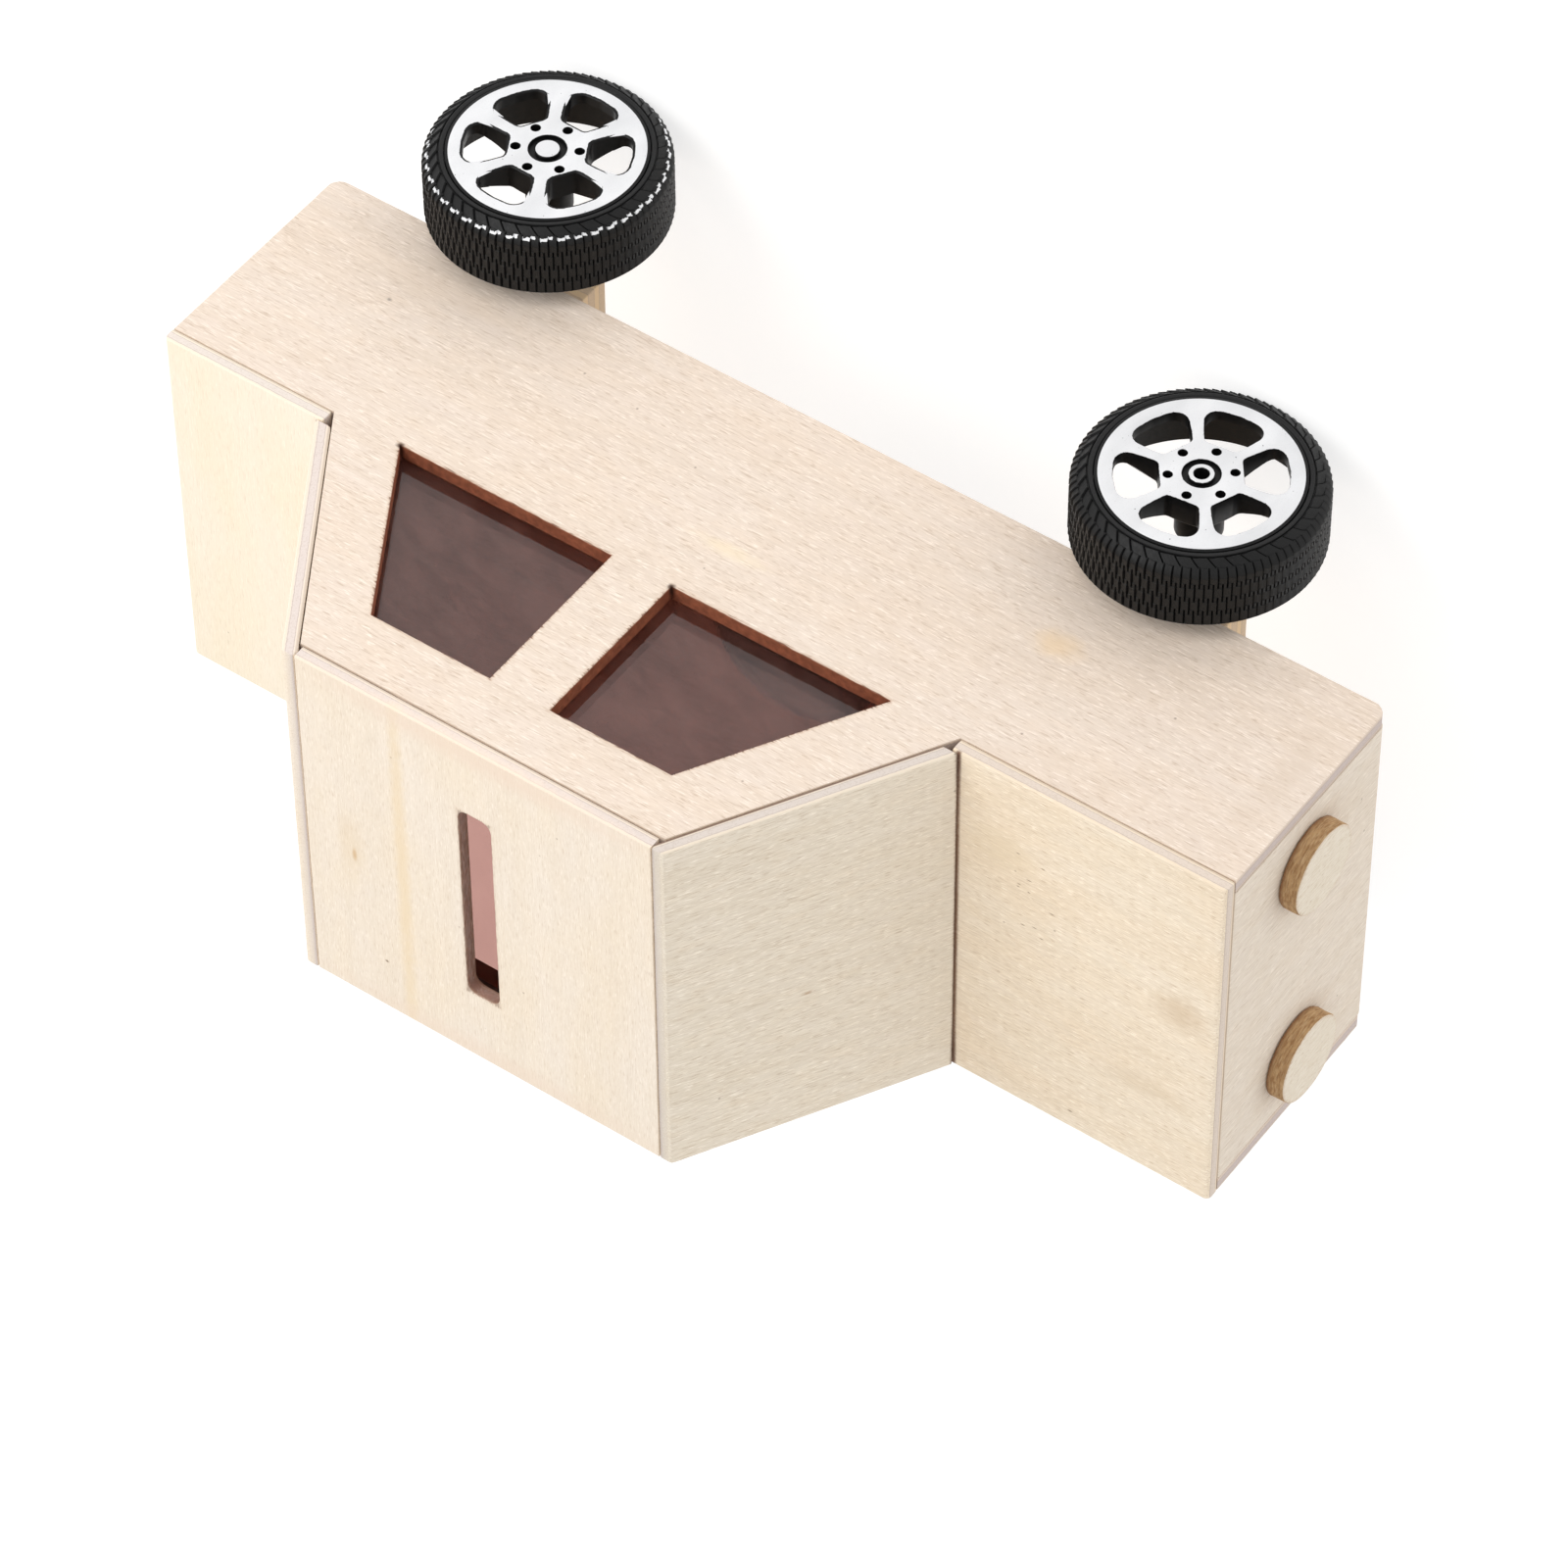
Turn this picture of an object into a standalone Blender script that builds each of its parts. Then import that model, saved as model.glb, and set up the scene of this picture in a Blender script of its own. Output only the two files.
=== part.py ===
"""A car-shaped plywood money box on four spoked plastic wheels.

Thin plywood boards are glued round two side panels. The roof has a coin slot,
the floor has a rubber stopper, and tinted acrylic sheets back the side windows.
Each steel axle turns in a wooden block under the floor, with a wheel on each end.

+X runs towards the front lamps, +Y towards the car's left side and +Z up. The
car stands on the plane z = 0, with its bounding box centred over the origin.
"""

from math import asin, atan2, cos, pi, radians, sin, tan

import bmesh
import bpy
from mathutils import Matrix, Vector

MM = 0.001
GAP = 0.3 * MM

# Body: side view sizes are measured from the rear lower corner of a side panel.
PLY = 2.0 * MM
BODY_LENGTH = 150.0 * MM
BODY_WIDTH = 55.0 * MM
DECK_HEIGHT = 31.4 * MM
ROOF_HEIGHT = 2 * DECK_HEIGHT
TRUNK_LENGTH = 24.0 * MM
ROOF_REAR = 43.4 * MM
ROOF_FRONT = 94.7 * MM
HOOD_REAR = 113.0 * MM
CORNER_RADIUS = 2.0 * MM
EDGE_BOARD_RADIUS = 1.8 * MM
ROOF_JOINT_INSET = 0.35 * MM

# Side windows: two trapezoids with upright edges along the pillar between them.
WINDOW_SILL = DECK_HEIGHT
WINDOW_HEAD = 54.6 * MM
PILLAR_REAR = 64.2 * MM
PILLAR_FRONT = 72.8 * MM
WINDOW_SILL_LENGTH = 30.5 * MM
WINDOW_HEAD_LENGTH = 16.9 * MM
PANE_THICKNESS = 1.5 * MM
PANE_MARGIN = 3.0 * MM

# Coin slot, front lamps and the stopper in the floor.
SLOT_WIDTH = 4.6 * MM
SLOT_LENGTH = 32.0 * MM
SLOT_CORNER = 1.4 * MM
LAMP_DIAMETER = 11.8 * MM
LAMP_THICKNESS = 2.2 * MM
LAMP_SPACING = 33.5 * MM
LAMP_HEIGHT = 16.4 * MM
STOPPER_DIAMETER = 22.8 * MM
STOPPER_RISE = 10.0 * MM
STOPPER_FLANGE_DIAMETER = 30.0 * MM
STOPPER_FLANGE_THICKNESS = 2.0 * MM
STOPPER_EDGE = 0.8 * MM

# Wheels and axles.
WHEEL_RADIUS = 15.1 * MM
AXLE_DROP = 8.7 * MM
AXLE_DIAMETER = 2.0 * MM
AXLE_CHAMFER = 0.3 * MM
BORE_CLEARANCE = 0.1 * MM
REAR_AXLE_X = 25.7 * MM
FRONT_AXLE_X = 118.5 * MM
RIM_FACE_OFFSET = 12.0 * MM
RIM_RADIUS = 12.3 * MM
SPOKE_PLATE = 2.4 * MM
SPOKES = 6
REAR_WHEEL_TURN = 32
FRONT_WHEEL_TURN = 23
WINDOW_INNER_RADIUS = 5.25 * MM
WINDOW_OUTER_RADIUS = 10.1 * MM
SPOKE_HALF_WIDTH_HUB = 0.7 * MM
SPOKE_HALF_WIDTH_RIM = 1.2 * MM
WINDOW_INNER_CORNER = 0.55 * MM
WINDOW_OUTER_CORNER = 1.3 * MM
HUB_RADIUS = 2.9 * MM
HUB_LENGTH = 9.0 * MM
LUG_CIRCLE_RADIUS = 3.9 * MM
LUG_DIAMETER = 1.0 * MM
LUG_DEPTH = 0.8 * MM
REAR_AXLE_RECESS = 0.2 * MM
FRONT_AXLE_RECESS = 2.5 * MM
TYRE_WIDTH = 9.2 * MM
TYRE_WALL = 0.8 * MM
SHOULDER = 1.8 * MM
SHOULDER_EDGE_RADIUS = 14.4 * MM
SHOULDER_EDGE_DEPTH = 0.8 * MM
BEAD_RADIUS = RIM_RADIUS + GAP
BLOCK_LENGTH_X = 9.4 * MM
BLOCK_WIDTH_Y = 34.0 * MM
BLOCK_HEIGHT = 13.1 * MM
BLOCK_EDGE = 0.8 * MM

# Places that follow from those sizes.
CAR_LENGTH = BODY_LENGTH + GAP + LAMP_THICKNESS
REAR = -CAR_LENGTH / 2
FLOOR = WHEEL_RADIUS + AXLE_DROP
SIDE = BODY_WIDTH / 2
INSIDE = SIDE - PLY - GAP
SLOPE = atan2(ROOF_HEIGHT - DECK_HEIGHT, HOOD_REAR - ROOF_FRONT)
REAR_SLOPE = atan2(ROOF_HEIGHT - DECK_HEIGHT, ROOF_REAR - TRUNK_LENGTH)
RIM_FACE = SIDE + RIM_FACE_OFFSET
ARC_STEPS = 5
ROUND_SIDES = 48
TYRE_SIDES = 60
AXLE_SIDES = 24
LUG_SIDES = 8


def clear_scene():
    for item in list(bpy.data.objects):
        bpy.data.objects.remove(item, do_unlink=True)


def material(name, color, roughness, metallic=0.0, alpha=1.0):
    made = bpy.data.materials.new(name)
    made.use_nodes = True
    shader = made.node_tree.nodes["Principled BSDF"]
    shader.inputs["Base Color"].default_value = (*color, 1.0)
    shader.inputs["Roughness"].default_value = roughness
    shader.inputs["Metallic"].default_value = metallic
    shader.inputs["Alpha"].default_value = alpha
    return made


def place(x, y, z):
    """A point given from the body's rear lower edge, in the car's own frame."""
    return Vector((REAR + x, y, FLOOR + z))


def rounded(points, radii):
    """An outline with the corners that have a radius turned into arcs."""
    outline = []
    count = len(points)
    for index, (point, radius) in enumerate(zip(points, radii)):
        corner = Vector(point)
        if radius == 0:
            outline.append(corner)
            continue
        back = (Vector(points[index - 1]) - corner).normalized()
        ahead = (Vector(points[(index + 1) % count]) - corner).normalized()
        half = back.angle(ahead) / 2
        centre = corner + (back + ahead).normalized() * (radius / sin(half))
        start = corner + back * (radius / tan(half)) - centre
        end = corner + ahead * (radius / tan(half)) - centre
        sweep = start.angle_signed(end)
        for step in range(ARC_STEPS + 1):
            turn = Matrix.Rotation(-sweep * step / ARC_STEPS, 2)
            outline.append(centre + turn @ start)
    return outline


def finish(mesh_builder, name, finish_material, smooth=False):
    bmesh.ops.recalc_face_normals(mesh_builder, faces=mesh_builder.faces)
    mesh = bpy.data.meshes.new(name)
    mesh_builder.to_mesh(mesh)
    mesh_builder.free()
    if smooth:
        mesh.shade_smooth()
        mesh.set_sharp_from_angle(angle=radians(35))
    mesh.materials.append(finish_material)
    made = bpy.data.objects.new(name, mesh)
    bpy.context.scene.collection.objects.link(made)
    return made


def add_prism(builder, near_points, far_points):
    near = [builder.verts.new(point) for point in near_points]
    far = [builder.verts.new(point) for point in far_points]
    count = len(near)
    builder.faces.new(near)
    builder.faces.new(list(reversed(far)))
    for index in range(count):
        after = (index + 1) % count
        builder.faces.new((near[after], near[index], far[index], far[after]))


def prism(name, outline, to_point, depth, finish_material):
    """A flat outline turned into a solid: to_point maps (u, v, w) to space."""
    builder = bmesh.new()
    near = [to_point(u, v, 0.0) for u, v in outline]
    far = [to_point(u, v, depth) for u, v in outline]
    add_prism(builder, near, far)
    return finish(builder, name, finish_material)


def side_prism(name, outline, y_low, y_high, finish_material):
    """A prism from an outline in the side view (x, z) between two y planes."""
    return prism(name, outline, lambda x, z, w: place(x, y_low + w, z), y_high - y_low, finish_material)


def box(name, low, high, finish_material):
    outline = [(low[0], low[2]), (high[0], low[2]), (high[0], high[2]), (low[0], high[2])]
    return side_prism(name, outline, low[1], high[1], finish_material)


def circle(radius, sides, centre=(0, 0)):
    return [(centre[0] + radius * cos(2 * pi * k / sides), centre[1] + radius * sin(2 * pi * k / sides))
            for k in range(sides)]


def turned(name, profile, finish_material, sides=ROUND_SIDES):
    """A closed (radius, along) profile turned round the local Z axis."""
    builder = bmesh.new()
    rings = []
    for radius, along in profile:
        if radius == 0:
            rings.append([builder.verts.new((0, 0, along))])
            continue
        rings.append([builder.verts.new((x, y, along)) for x, y in circle(radius, sides)])
    for index, ring in enumerate(rings):
        other = rings[(index + 1) % len(rings)]
        if len(ring) == 1 and len(other) == 1:
            continue
        for k in range(sides):
            after = (k + 1) % sides
            corners = []
            for vertex in (ring[k % len(ring)], ring[after % len(ring)], other[after % len(other)],
                           other[k % len(other)]):
                if vertex not in corners:
                    corners.append(vertex)
            builder.faces.new(corners)
    return finish(builder, name, finish_material, smooth=True)


def cutter_look(cutter):
    cutter.hide_render = True
    cutter.display_type = "WIRE"
    return cutter


def cut(target, cutter):
    cutter_look(cutter)
    modifier = target.modifiers.new(cutter.name, "BOOLEAN")
    modifier.operation = "DIFFERENCE"
    modifier.solver = "EXACT"
    modifier.object = cutter
    return target


def window_outlines():
    """The rear and front side windows, as outlines in the side view."""
    rear = [(PILLAR_REAR - WINDOW_SILL_LENGTH, WINDOW_SILL), (PILLAR_REAR, WINDOW_SILL),
            (PILLAR_REAR, WINDOW_HEAD), (PILLAR_REAR - WINDOW_HEAD_LENGTH, WINDOW_HEAD)]
    front = [(PILLAR_FRONT, WINDOW_SILL), (PILLAR_FRONT + WINDOW_SILL_LENGTH, WINDOW_SILL),
             (PILLAR_FRONT + WINDOW_HEAD_LENGTH, WINDOW_HEAD), (PILLAR_FRONT, WINDOW_HEAD)]
    return {"rear": rear, "front": front}


def side_panels(wood):
    corners = [(0, 0), (BODY_LENGTH, 0), (BODY_LENGTH, DECK_HEIGHT), (HOOD_REAR, DECK_HEIGHT),
               (ROOF_FRONT, ROOF_HEIGHT), (ROOF_REAR, ROOF_HEIGHT), (TRUNK_LENGTH, DECK_HEIGHT),
               (0, DECK_HEIGHT)]
    outline = rounded(corners, [CORNER_RADIUS, CORNER_RADIUS, 0, 0, 0, 0, 0, 0])
    for side, low in (("left", SIDE - PLY), ("right", -SIDE)):
        panel = side_prism(f"side_panel_{side}", outline, low, low + PLY, wood)
        for place_name, shape in window_outlines().items():
            name = f"window_cutter_{place_name}_{side}"
            cut(panel, side_prism(name, shape, low - PLY, low + 2 * PLY, wood))


def window_panes(acrylic):
    slant = (WINDOW_SILL_LENGTH - WINDOW_HEAD_LENGTH) / (WINDOW_HEAD - WINDOW_SILL)
    lean = PANE_MARGIN * slant
    low, high = WINDOW_SILL - PANE_MARGIN, WINDOW_HEAD + PANE_MARGIN
    rear_sill = PILLAR_REAR - WINDOW_SILL_LENGTH - PANE_MARGIN - lean
    rear_head = PILLAR_REAR - WINDOW_HEAD_LENGTH - PANE_MARGIN + lean
    front_sill = PILLAR_FRONT + WINDOW_SILL_LENGTH + PANE_MARGIN + lean
    front_head = PILLAR_FRONT + WINDOW_HEAD_LENGTH + PANE_MARGIN - lean
    outline = [(rear_sill, low), (front_sill, low), (front_head, high), (rear_head, high)]
    side_prism("window_pane_left", outline, INSIDE - PANE_THICKNESS, INSIDE, acrylic)
    side_prism("window_pane_right", outline, -INSIDE, PANE_THICKNESS - INSIDE, acrylic)


def level_boards(wood):
    """The trunk, roof and hood boards, which lie on the side panels' upper edges."""
    low = DECK_HEIGHT + GAP
    high = DECK_HEIGHT + PLY
    round_end = CORNER_RADIUS / 2
    trunk = rounded([(0, low), (TRUNK_LENGTH - GAP, low), (TRUNK_LENGTH - GAP, high), (0, high)],
                    [0, 0, 0, round_end])
    side_prism("trunk_board", trunk, -SIDE, SIDE, wood)
    hood = rounded([(HOOD_REAR + GAP, low), (BODY_LENGTH, low), (BODY_LENGTH, high), (HOOD_REAR + GAP, high)],
                   [0, 0, round_end, 0])
    side_prism("hood_board", hood, -SIDE, SIDE, wood)
    inset = ROOF_JOINT_INSET + GAP
    roof = box("roof_board", (ROOF_REAR + inset, -SIDE, ROOF_HEIGHT + GAP),
               (ROOF_FRONT - inset, SIDE, ROOF_HEIGHT + PLY), wood)
    middle = (ROOF_REAR + ROOF_FRONT) / 2
    half_x, half_y = SLOT_WIDTH / 2, SLOT_LENGTH / 2
    slot = rounded([(middle - half_x, -half_y), (middle + half_x, -half_y), (middle + half_x, half_y),
                    (middle - half_x, half_y)], [SLOT_CORNER] * 4)
    low = ROOF_HEIGHT - PLY
    cut(roof, prism("coin_slot_cutter", slot, lambda x, y, w: place(x, y, low + w), 3 * PLY, wood))


def sloped_outline(foot_x, slope, direction, end_x):
    """A board leaning on the panels' sloped edge, trimmed level at both ends.

    foot_x is the foot of the slope at deck height, direction is +1 where the
    board rises towards the rear, and end_x is the neighbouring roof board's end.
    """
    def along(height, outward):
        run = (height - DECK_HEIGHT) / tan(slope)
        return foot_x + direction * (outward / sin(slope) - run)

    top = ROOF_HEIGHT + PLY
    foot = DECK_HEIGHT + PLY + GAP
    meet = DECK_HEIGHT + (foot_x + direction * GAP / sin(slope) - end_x) * direction * tan(slope)
    return [(along(foot, GAP), foot), (along(foot, PLY), foot), (along(top, PLY), top), (end_x, top),
            (end_x, meet)]


def sloped_boards(wood):
    windshield = sloped_outline(HOOD_REAR, SLOPE, 1, ROOF_FRONT - ROOF_JOINT_INSET)
    side_prism("windshield_board", windshield, -SIDE, SIDE, wood)
    rear_window = sloped_outline(TRUNK_LENGTH, REAR_SLOPE, -1, ROOF_REAR + ROOF_JOINT_INSET)
    side_prism("rear_window_board", rear_window, -SIDE, SIDE, wood)


def end_boards(wood):
    """The front and rear boards stand between the side panels."""
    radius = EDGE_BOARD_RADIUS
    front = rounded([(BODY_LENGTH - PLY, 0), (BODY_LENGTH, 0), (BODY_LENGTH, DECK_HEIGHT),
                     (BODY_LENGTH - PLY, DECK_HEIGHT)], [0, radius, 0, 0])
    side_prism("front_board", front, -INSIDE, INSIDE, wood)
    rear = rounded([(0, 0), (PLY, 0), (PLY, DECK_HEIGHT), (0, DECK_HEIGHT)], [radius, 0, 0, 0])
    side_prism("rear_board", rear, -INSIDE, INSIDE, wood)


def floor_board(wood):
    board = box("bottom_board", (PLY + GAP, -INSIDE, 0), (BODY_LENGTH - PLY - GAP, INSIDE, PLY), wood)
    hole = turned("stopper_hole_cutter", [(0, -PLY), (STOPPER_DIAMETER / 2 + GAP, -PLY),
                                          (STOPPER_DIAMETER / 2 + GAP, 2 * PLY), (0, 2 * PLY)], wood)
    hole.location = place(BODY_LENGTH / 2, 0, 0)
    cut(board, hole)


def stopper(rubber):
    """The plug's origin is on its axis at the floor's underside, where it slides."""
    radius, flange = STOPPER_DIAMETER / 2, STOPPER_FLANGE_DIAMETER / 2
    top, edge = PLY + STOPPER_RISE, STOPPER_EDGE
    base = -GAP - STOPPER_FLANGE_THICKNESS
    profile = [(0, base), (flange - edge, base), (flange, base + edge), (flange, -GAP), (radius, -GAP),
               (radius, top - edge), (radius - edge, top), (0, top)]
    plug = turned("coin_stopper", profile, rubber)
    plug.location = place(BODY_LENGTH / 2, 0, 0)


def lamps(wood):
    radius, depth = LAMP_DIAMETER / 2, LAMP_THICKNESS
    for side, sign in (("left", 1), ("right", -1)):
        disc = turned(f"headlight_{side}", [(0, 0), (radius, 0), (radius, depth), (0, depth)], wood)
        disc.rotation_euler = (0, radians(90), 0)
        disc.location = place(BODY_LENGTH + GAP, sign * LAMP_SPACING / 2, LAMP_HEIGHT)


def axle_blocks(wood):
    for name, x in (("axle_block_rear", REAR_AXLE_X), ("axle_block_front", FRONT_AXLE_X)):
        half = BLOCK_LENGTH_X / 2
        top = -GAP
        outline = rounded([(x - half, top - BLOCK_HEIGHT), (x + half, top - BLOCK_HEIGHT), (x + half, top),
                           (x - half, top)], [BLOCK_EDGE, BLOCK_EDGE, 0, 0])
        block = side_prism(name, outline, -BLOCK_WIDTH_Y / 2, BLOCK_WIDTH_Y / 2, wood)
        bore_radius = AXLE_DIAMETER / 2 + BORE_CLEARANCE
        bore = turned(f"{name}_bore_cutter", [(0, -BLOCK_WIDTH_Y), (bore_radius, -BLOCK_WIDTH_Y),
                                              (bore_radius, BLOCK_WIDTH_Y), (0, BLOCK_WIDTH_Y)], wood)
        bore.rotation_euler = (radians(90), 0, 0)
        bore.location = place(x, 0, -AXLE_DROP)
        cut(block, bore)


def axle(name, centre, recess, steel):
    half = RIM_FACE - recess
    radius = AXLE_DIAMETER / 2
    tip = radius - AXLE_CHAMFER
    shank = half - AXLE_CHAMFER
    profile = [(0, -half), (tip, -half), (radius, -shank), (radius, shank), (tip, half), (0, half)]
    rod = turned(name, profile, steel, sides=AXLE_SIDES)
    rod.rotation_euler = (radians(-90), 0, 0)
    rod.parent = centre


def spoke_window():
    """One opening between two spokes, centred on the local X axis."""
    inner, outer = WINDOW_INNER_RADIUS, WINDOW_OUTER_RADIUS
    half_turn = pi / SPOKES
    inner_angle = half_turn - asin(SPOKE_HALF_WIDTH_HUB / inner)
    outer_angle = half_turn - asin(SPOKE_HALF_WIDTH_RIM / outer)
    corners = [(inner * cos(inner_angle), inner * sin(inner_angle)),
               (inner * cos(inner_angle), -inner * sin(inner_angle)),
               (outer * cos(outer_angle), -outer * sin(outer_angle)),
               (outer * cos(outer_angle / 2), -outer * sin(outer_angle / 2)),
               (outer, 0),
               (outer * cos(outer_angle / 2), outer * sin(outer_angle / 2)),
               (outer * cos(outer_angle), outer * sin(outer_angle))]
    near, far = WINDOW_INNER_CORNER, WINDOW_OUTER_CORNER
    return rounded(corners, [near, near, far, 0, 0, 0, far])


def joined_cutter(name, pieces, finish_material):
    """Separate closed prisms in one cutter, each given as (outline, low, high)."""
    builder = bmesh.new()
    for outline, low, high in pieces:
        add_prism(builder, [(x, y, low) for x, y in outline], [(x, y, high) for x, y in outline])
    return finish(builder, name, finish_material)


def spin(outline, angle):
    turn = Matrix.Rotation(angle, 2)
    return [turn @ Vector(point) for point in outline]


def rim_mesh(plastic):
    """A spoked rim with its outer face at z = 0 and its hub along -Z, open behind the spokes."""
    bore = AXLE_DIAMETER / 2 + BORE_CLEARANCE
    plate = -SPOKE_PLATE
    profile = [(bore, 0), (RIM_RADIUS, 0), (RIM_RADIUS, plate), (HUB_RADIUS, plate),
               (HUB_RADIUS, -HUB_LENGTH), (bore, -HUB_LENGTH)]
    rim = turned("rim_blank", profile, plastic)
    window = spoke_window()
    openings = [(spin(window, 2 * pi * k / SPOKES), plate * 1.5, -plate) for k in range(SPOKES)]
    lug = circle(LUG_DIAMETER / 2, LUG_SIDES, (LUG_CIRCLE_RADIUS, 0))
    openings += [(spin(lug, 2 * pi * k / SPOKES), -LUG_DEPTH, LUG_DEPTH) for k in range(SPOKES)]
    cutter = cutter_look(joined_cutter("rim_cutter", openings, plastic))
    cut(rim, cutter)
    evaluated = rim.evaluated_get(bpy.context.evaluated_depsgraph_get())
    mesh = bpy.data.meshes.new_from_object(evaluated)
    bpy.data.objects.remove(rim, do_unlink=True)
    bpy.data.objects.remove(cutter, do_unlink=True)
    mesh.name = "rim"
    mesh.shade_smooth()
    mesh.set_sharp_from_angle(angle=radians(35))
    return mesh


def tyre_profile():
    """Half the tyre's section from its face at z = 0: a thin tread wall with a flange in front."""
    inner, face, crown = BEAD_RADIUS, WHEEL_RADIUS - SHOULDER, WHEEL_RADIUS
    wall = crown - TYRE_WALL
    return [(inner, -GAP), (face, 0), (SHOULDER_EDGE_RADIUS, -SHOULDER_EDGE_DEPTH), (crown, -SHOULDER),
            (crown, -TYRE_WIDTH), (wall, -TYRE_WIDTH), (wall, -SPOKE_PLATE), (inner, -SPOKE_PLATE)]


def wheels(plastic, rubber, steel):
    """Wheels on their axles, turned so that a spoke window stands off the level."""
    rim = rim_mesh(plastic)
    rear = ("rear", REAR_AXLE_X, REAR_AXLE_RECESS, REAR_WHEEL_TURN)
    front = ("front", FRONT_AXLE_X, FRONT_AXLE_RECESS, FRONT_WHEEL_TURN)
    for position, x, recess, turn in (rear, front):
        centre = bpy.data.objects.new(f"{position}_axle_centre", None)
        centre.location = place(x, 0, -AXLE_DROP)
        bpy.context.scene.collection.objects.link(centre)
        axle(f"{position}_axle", centre, recess, steel)
        for side, sign in (("left", 1), ("right", -1)):
            wheel_rim = bpy.data.objects.new(f"rim_{position}_{side}", rim)
            bpy.context.scene.collection.objects.link(wheel_rim)
            tyre = turned(f"tyre_{position}_{side}", tyre_profile(), rubber, sides=TYRE_SIDES)
            for piece in (wheel_rim, tyre):
                piece.rotation_euler = (radians(-90 * sign), radians(-turn), 0)
                piece.location = (0, sign * RIM_FACE, 0)
                piece.parent = centre


def build():
    clear_scene()
    wood = material("basswood_plywood", (0.80, 0.69, 0.53), 0.75)
    lamp_wood = material("lamp_plywood", (0.74, 0.60, 0.42), 0.8)
    block_wood = material("block_wood", (0.72, 0.60, 0.44), 0.8)
    acrylic = material("brown_acrylic", (0.20, 0.07, 0.04), 0.12, alpha=0.8)
    stopper_rubber = material("black_stopper", (0.02, 0.022, 0.025), 0.55)
    rim_plastic = material("silvered_plastic", (0.70, 0.71, 0.73), 0.35, metallic=0.4)
    tyre_rubber = material("black_tyre", (0.018, 0.018, 0.018), 0.6)
    steel = material("axle_steel", (0.62, 0.62, 0.62), 0.3, metallic=1.0)

    side_panels(wood)
    window_panes(acrylic)
    level_boards(wood)
    sloped_boards(wood)
    end_boards(wood)
    floor_board(wood)
    stopper(stopper_rubber)
    lamps(lamp_wood)
    axle_blocks(block_wood)
    wheels(rim_plastic, tyre_rubber, steel)


build()
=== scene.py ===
"""Looks for a plywood money box shaped like a model car.

The boards are rebuilt round the frame's own outlines with eased, slightly uneven
edges, and the wheels get their spokes, hubs and tread. Shapes are in metres. Marks
and materials are in millimetres, from each piece's place in the frame at rest.
"""
import random
from math import asin, cos, pi, radians, sin

import bmesh
import bpy
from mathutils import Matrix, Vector, noise


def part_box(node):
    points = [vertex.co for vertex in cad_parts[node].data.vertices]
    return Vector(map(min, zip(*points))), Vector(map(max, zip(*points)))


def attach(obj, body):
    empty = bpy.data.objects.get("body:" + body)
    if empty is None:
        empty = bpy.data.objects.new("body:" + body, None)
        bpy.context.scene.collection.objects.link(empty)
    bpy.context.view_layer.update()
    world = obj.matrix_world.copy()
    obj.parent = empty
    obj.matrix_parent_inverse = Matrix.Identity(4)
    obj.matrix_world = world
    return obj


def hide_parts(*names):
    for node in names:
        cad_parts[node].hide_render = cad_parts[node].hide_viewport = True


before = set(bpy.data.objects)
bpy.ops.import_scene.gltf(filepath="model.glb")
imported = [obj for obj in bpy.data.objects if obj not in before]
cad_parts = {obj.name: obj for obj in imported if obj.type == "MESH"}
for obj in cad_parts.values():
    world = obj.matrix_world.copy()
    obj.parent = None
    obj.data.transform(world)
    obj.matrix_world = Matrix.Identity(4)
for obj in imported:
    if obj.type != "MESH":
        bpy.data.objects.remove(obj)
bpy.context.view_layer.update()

MM = 0.001
X, Y, Z = Vector((1, 0, 0)), Vector((0, 1, 0)), Vector((0, 0, 1))
SIDES = {"left": 1, "right": -1}
BODY = "car_body"

# Boards
JOINT_CLOSING = 0.1 * MM  # how far each board reaches into the gap to the next one
EASED_EDGE = 0.14 * MM
EDGE_GUARD = 0.5 * MM  # how far from an edge its unevenness ends
SHARP_CORNER = radians(145)  # a section's corners under this angle are eased
WOBBLE = 0.035 * MM
BOARD_STEP = 1.4 * MM
PANEL_STEP, FLOOR_STEP = 0.7 * MM, 1.2 * MM
PANEL_SIDE = 27.5  # the side panels' outer faces, in mm from the car's middle
HOOD_TOP, ROOF_TOP = 33.4, 64.8  # in mm above the panels' lower edge
WINDSHIELD_FOOT, WINDSHIELD_HEAD = 114.1, 95.3  # in mm from the panels' rear end

# The front lamps and the coin stopper
LAMP_EDGE, LAMP_WOBBLE = 0.22 * MM, 0.09 * MM
LAMP_SIDES = 96
PLUG_RADIUS = 11.4 * MM
STOPPER_GAP = 0.3 * MM  # between its flange and the floor board

# Wheels: radii from the wheel's axis, depths inwards from the rim's outer face
SPOKES = 6
REAR_TURN, FRONT_TURN = radians(32), radians(23)
SILVER_RADIUS = 11.85 * MM
LIP_RADIUS = 12.3 * MM
SPOKE_PLATE = 2.4 * MM
HUB_THICKNESS, RING_THICKNESS = 1.45, 0.6  # shares of the plate's thickness at its back
DISH_END = 1.2  # where the dish ends, in window lengths from the windows' inner ends
WINDOW_INNER, WINDOW_OUTER = 5.25 * MM, 10.15 * MM
FRONT_SPOKE = (0.7 * MM, 1.2 * MM)  # half its width at the hub and at the ring
REAR_SPOKE = (1.05 * MM, 1.5 * MM)
RIM_EDGE = 0.15 * MM
WORN_BEVEL, LUG_BEVEL = 2.6, 0.6  # of a worn rim's windows and the lug holes, in rim edges
RIM_WOBBLE, RIM_STEP = 0.015 * MM, 0.35 * MM
HUB_GROOVE_INNER, HUB_GROOVE_OUTER = 1.55 * MM, 2.25 * MM
HUB_GROOVE_DEPTH = 0.5 * MM
HUB_BOSS, HUB_LENGTH = 2.9 * MM, 9.0 * MM
HUB_HOLE = 0.9 * MM
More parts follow.
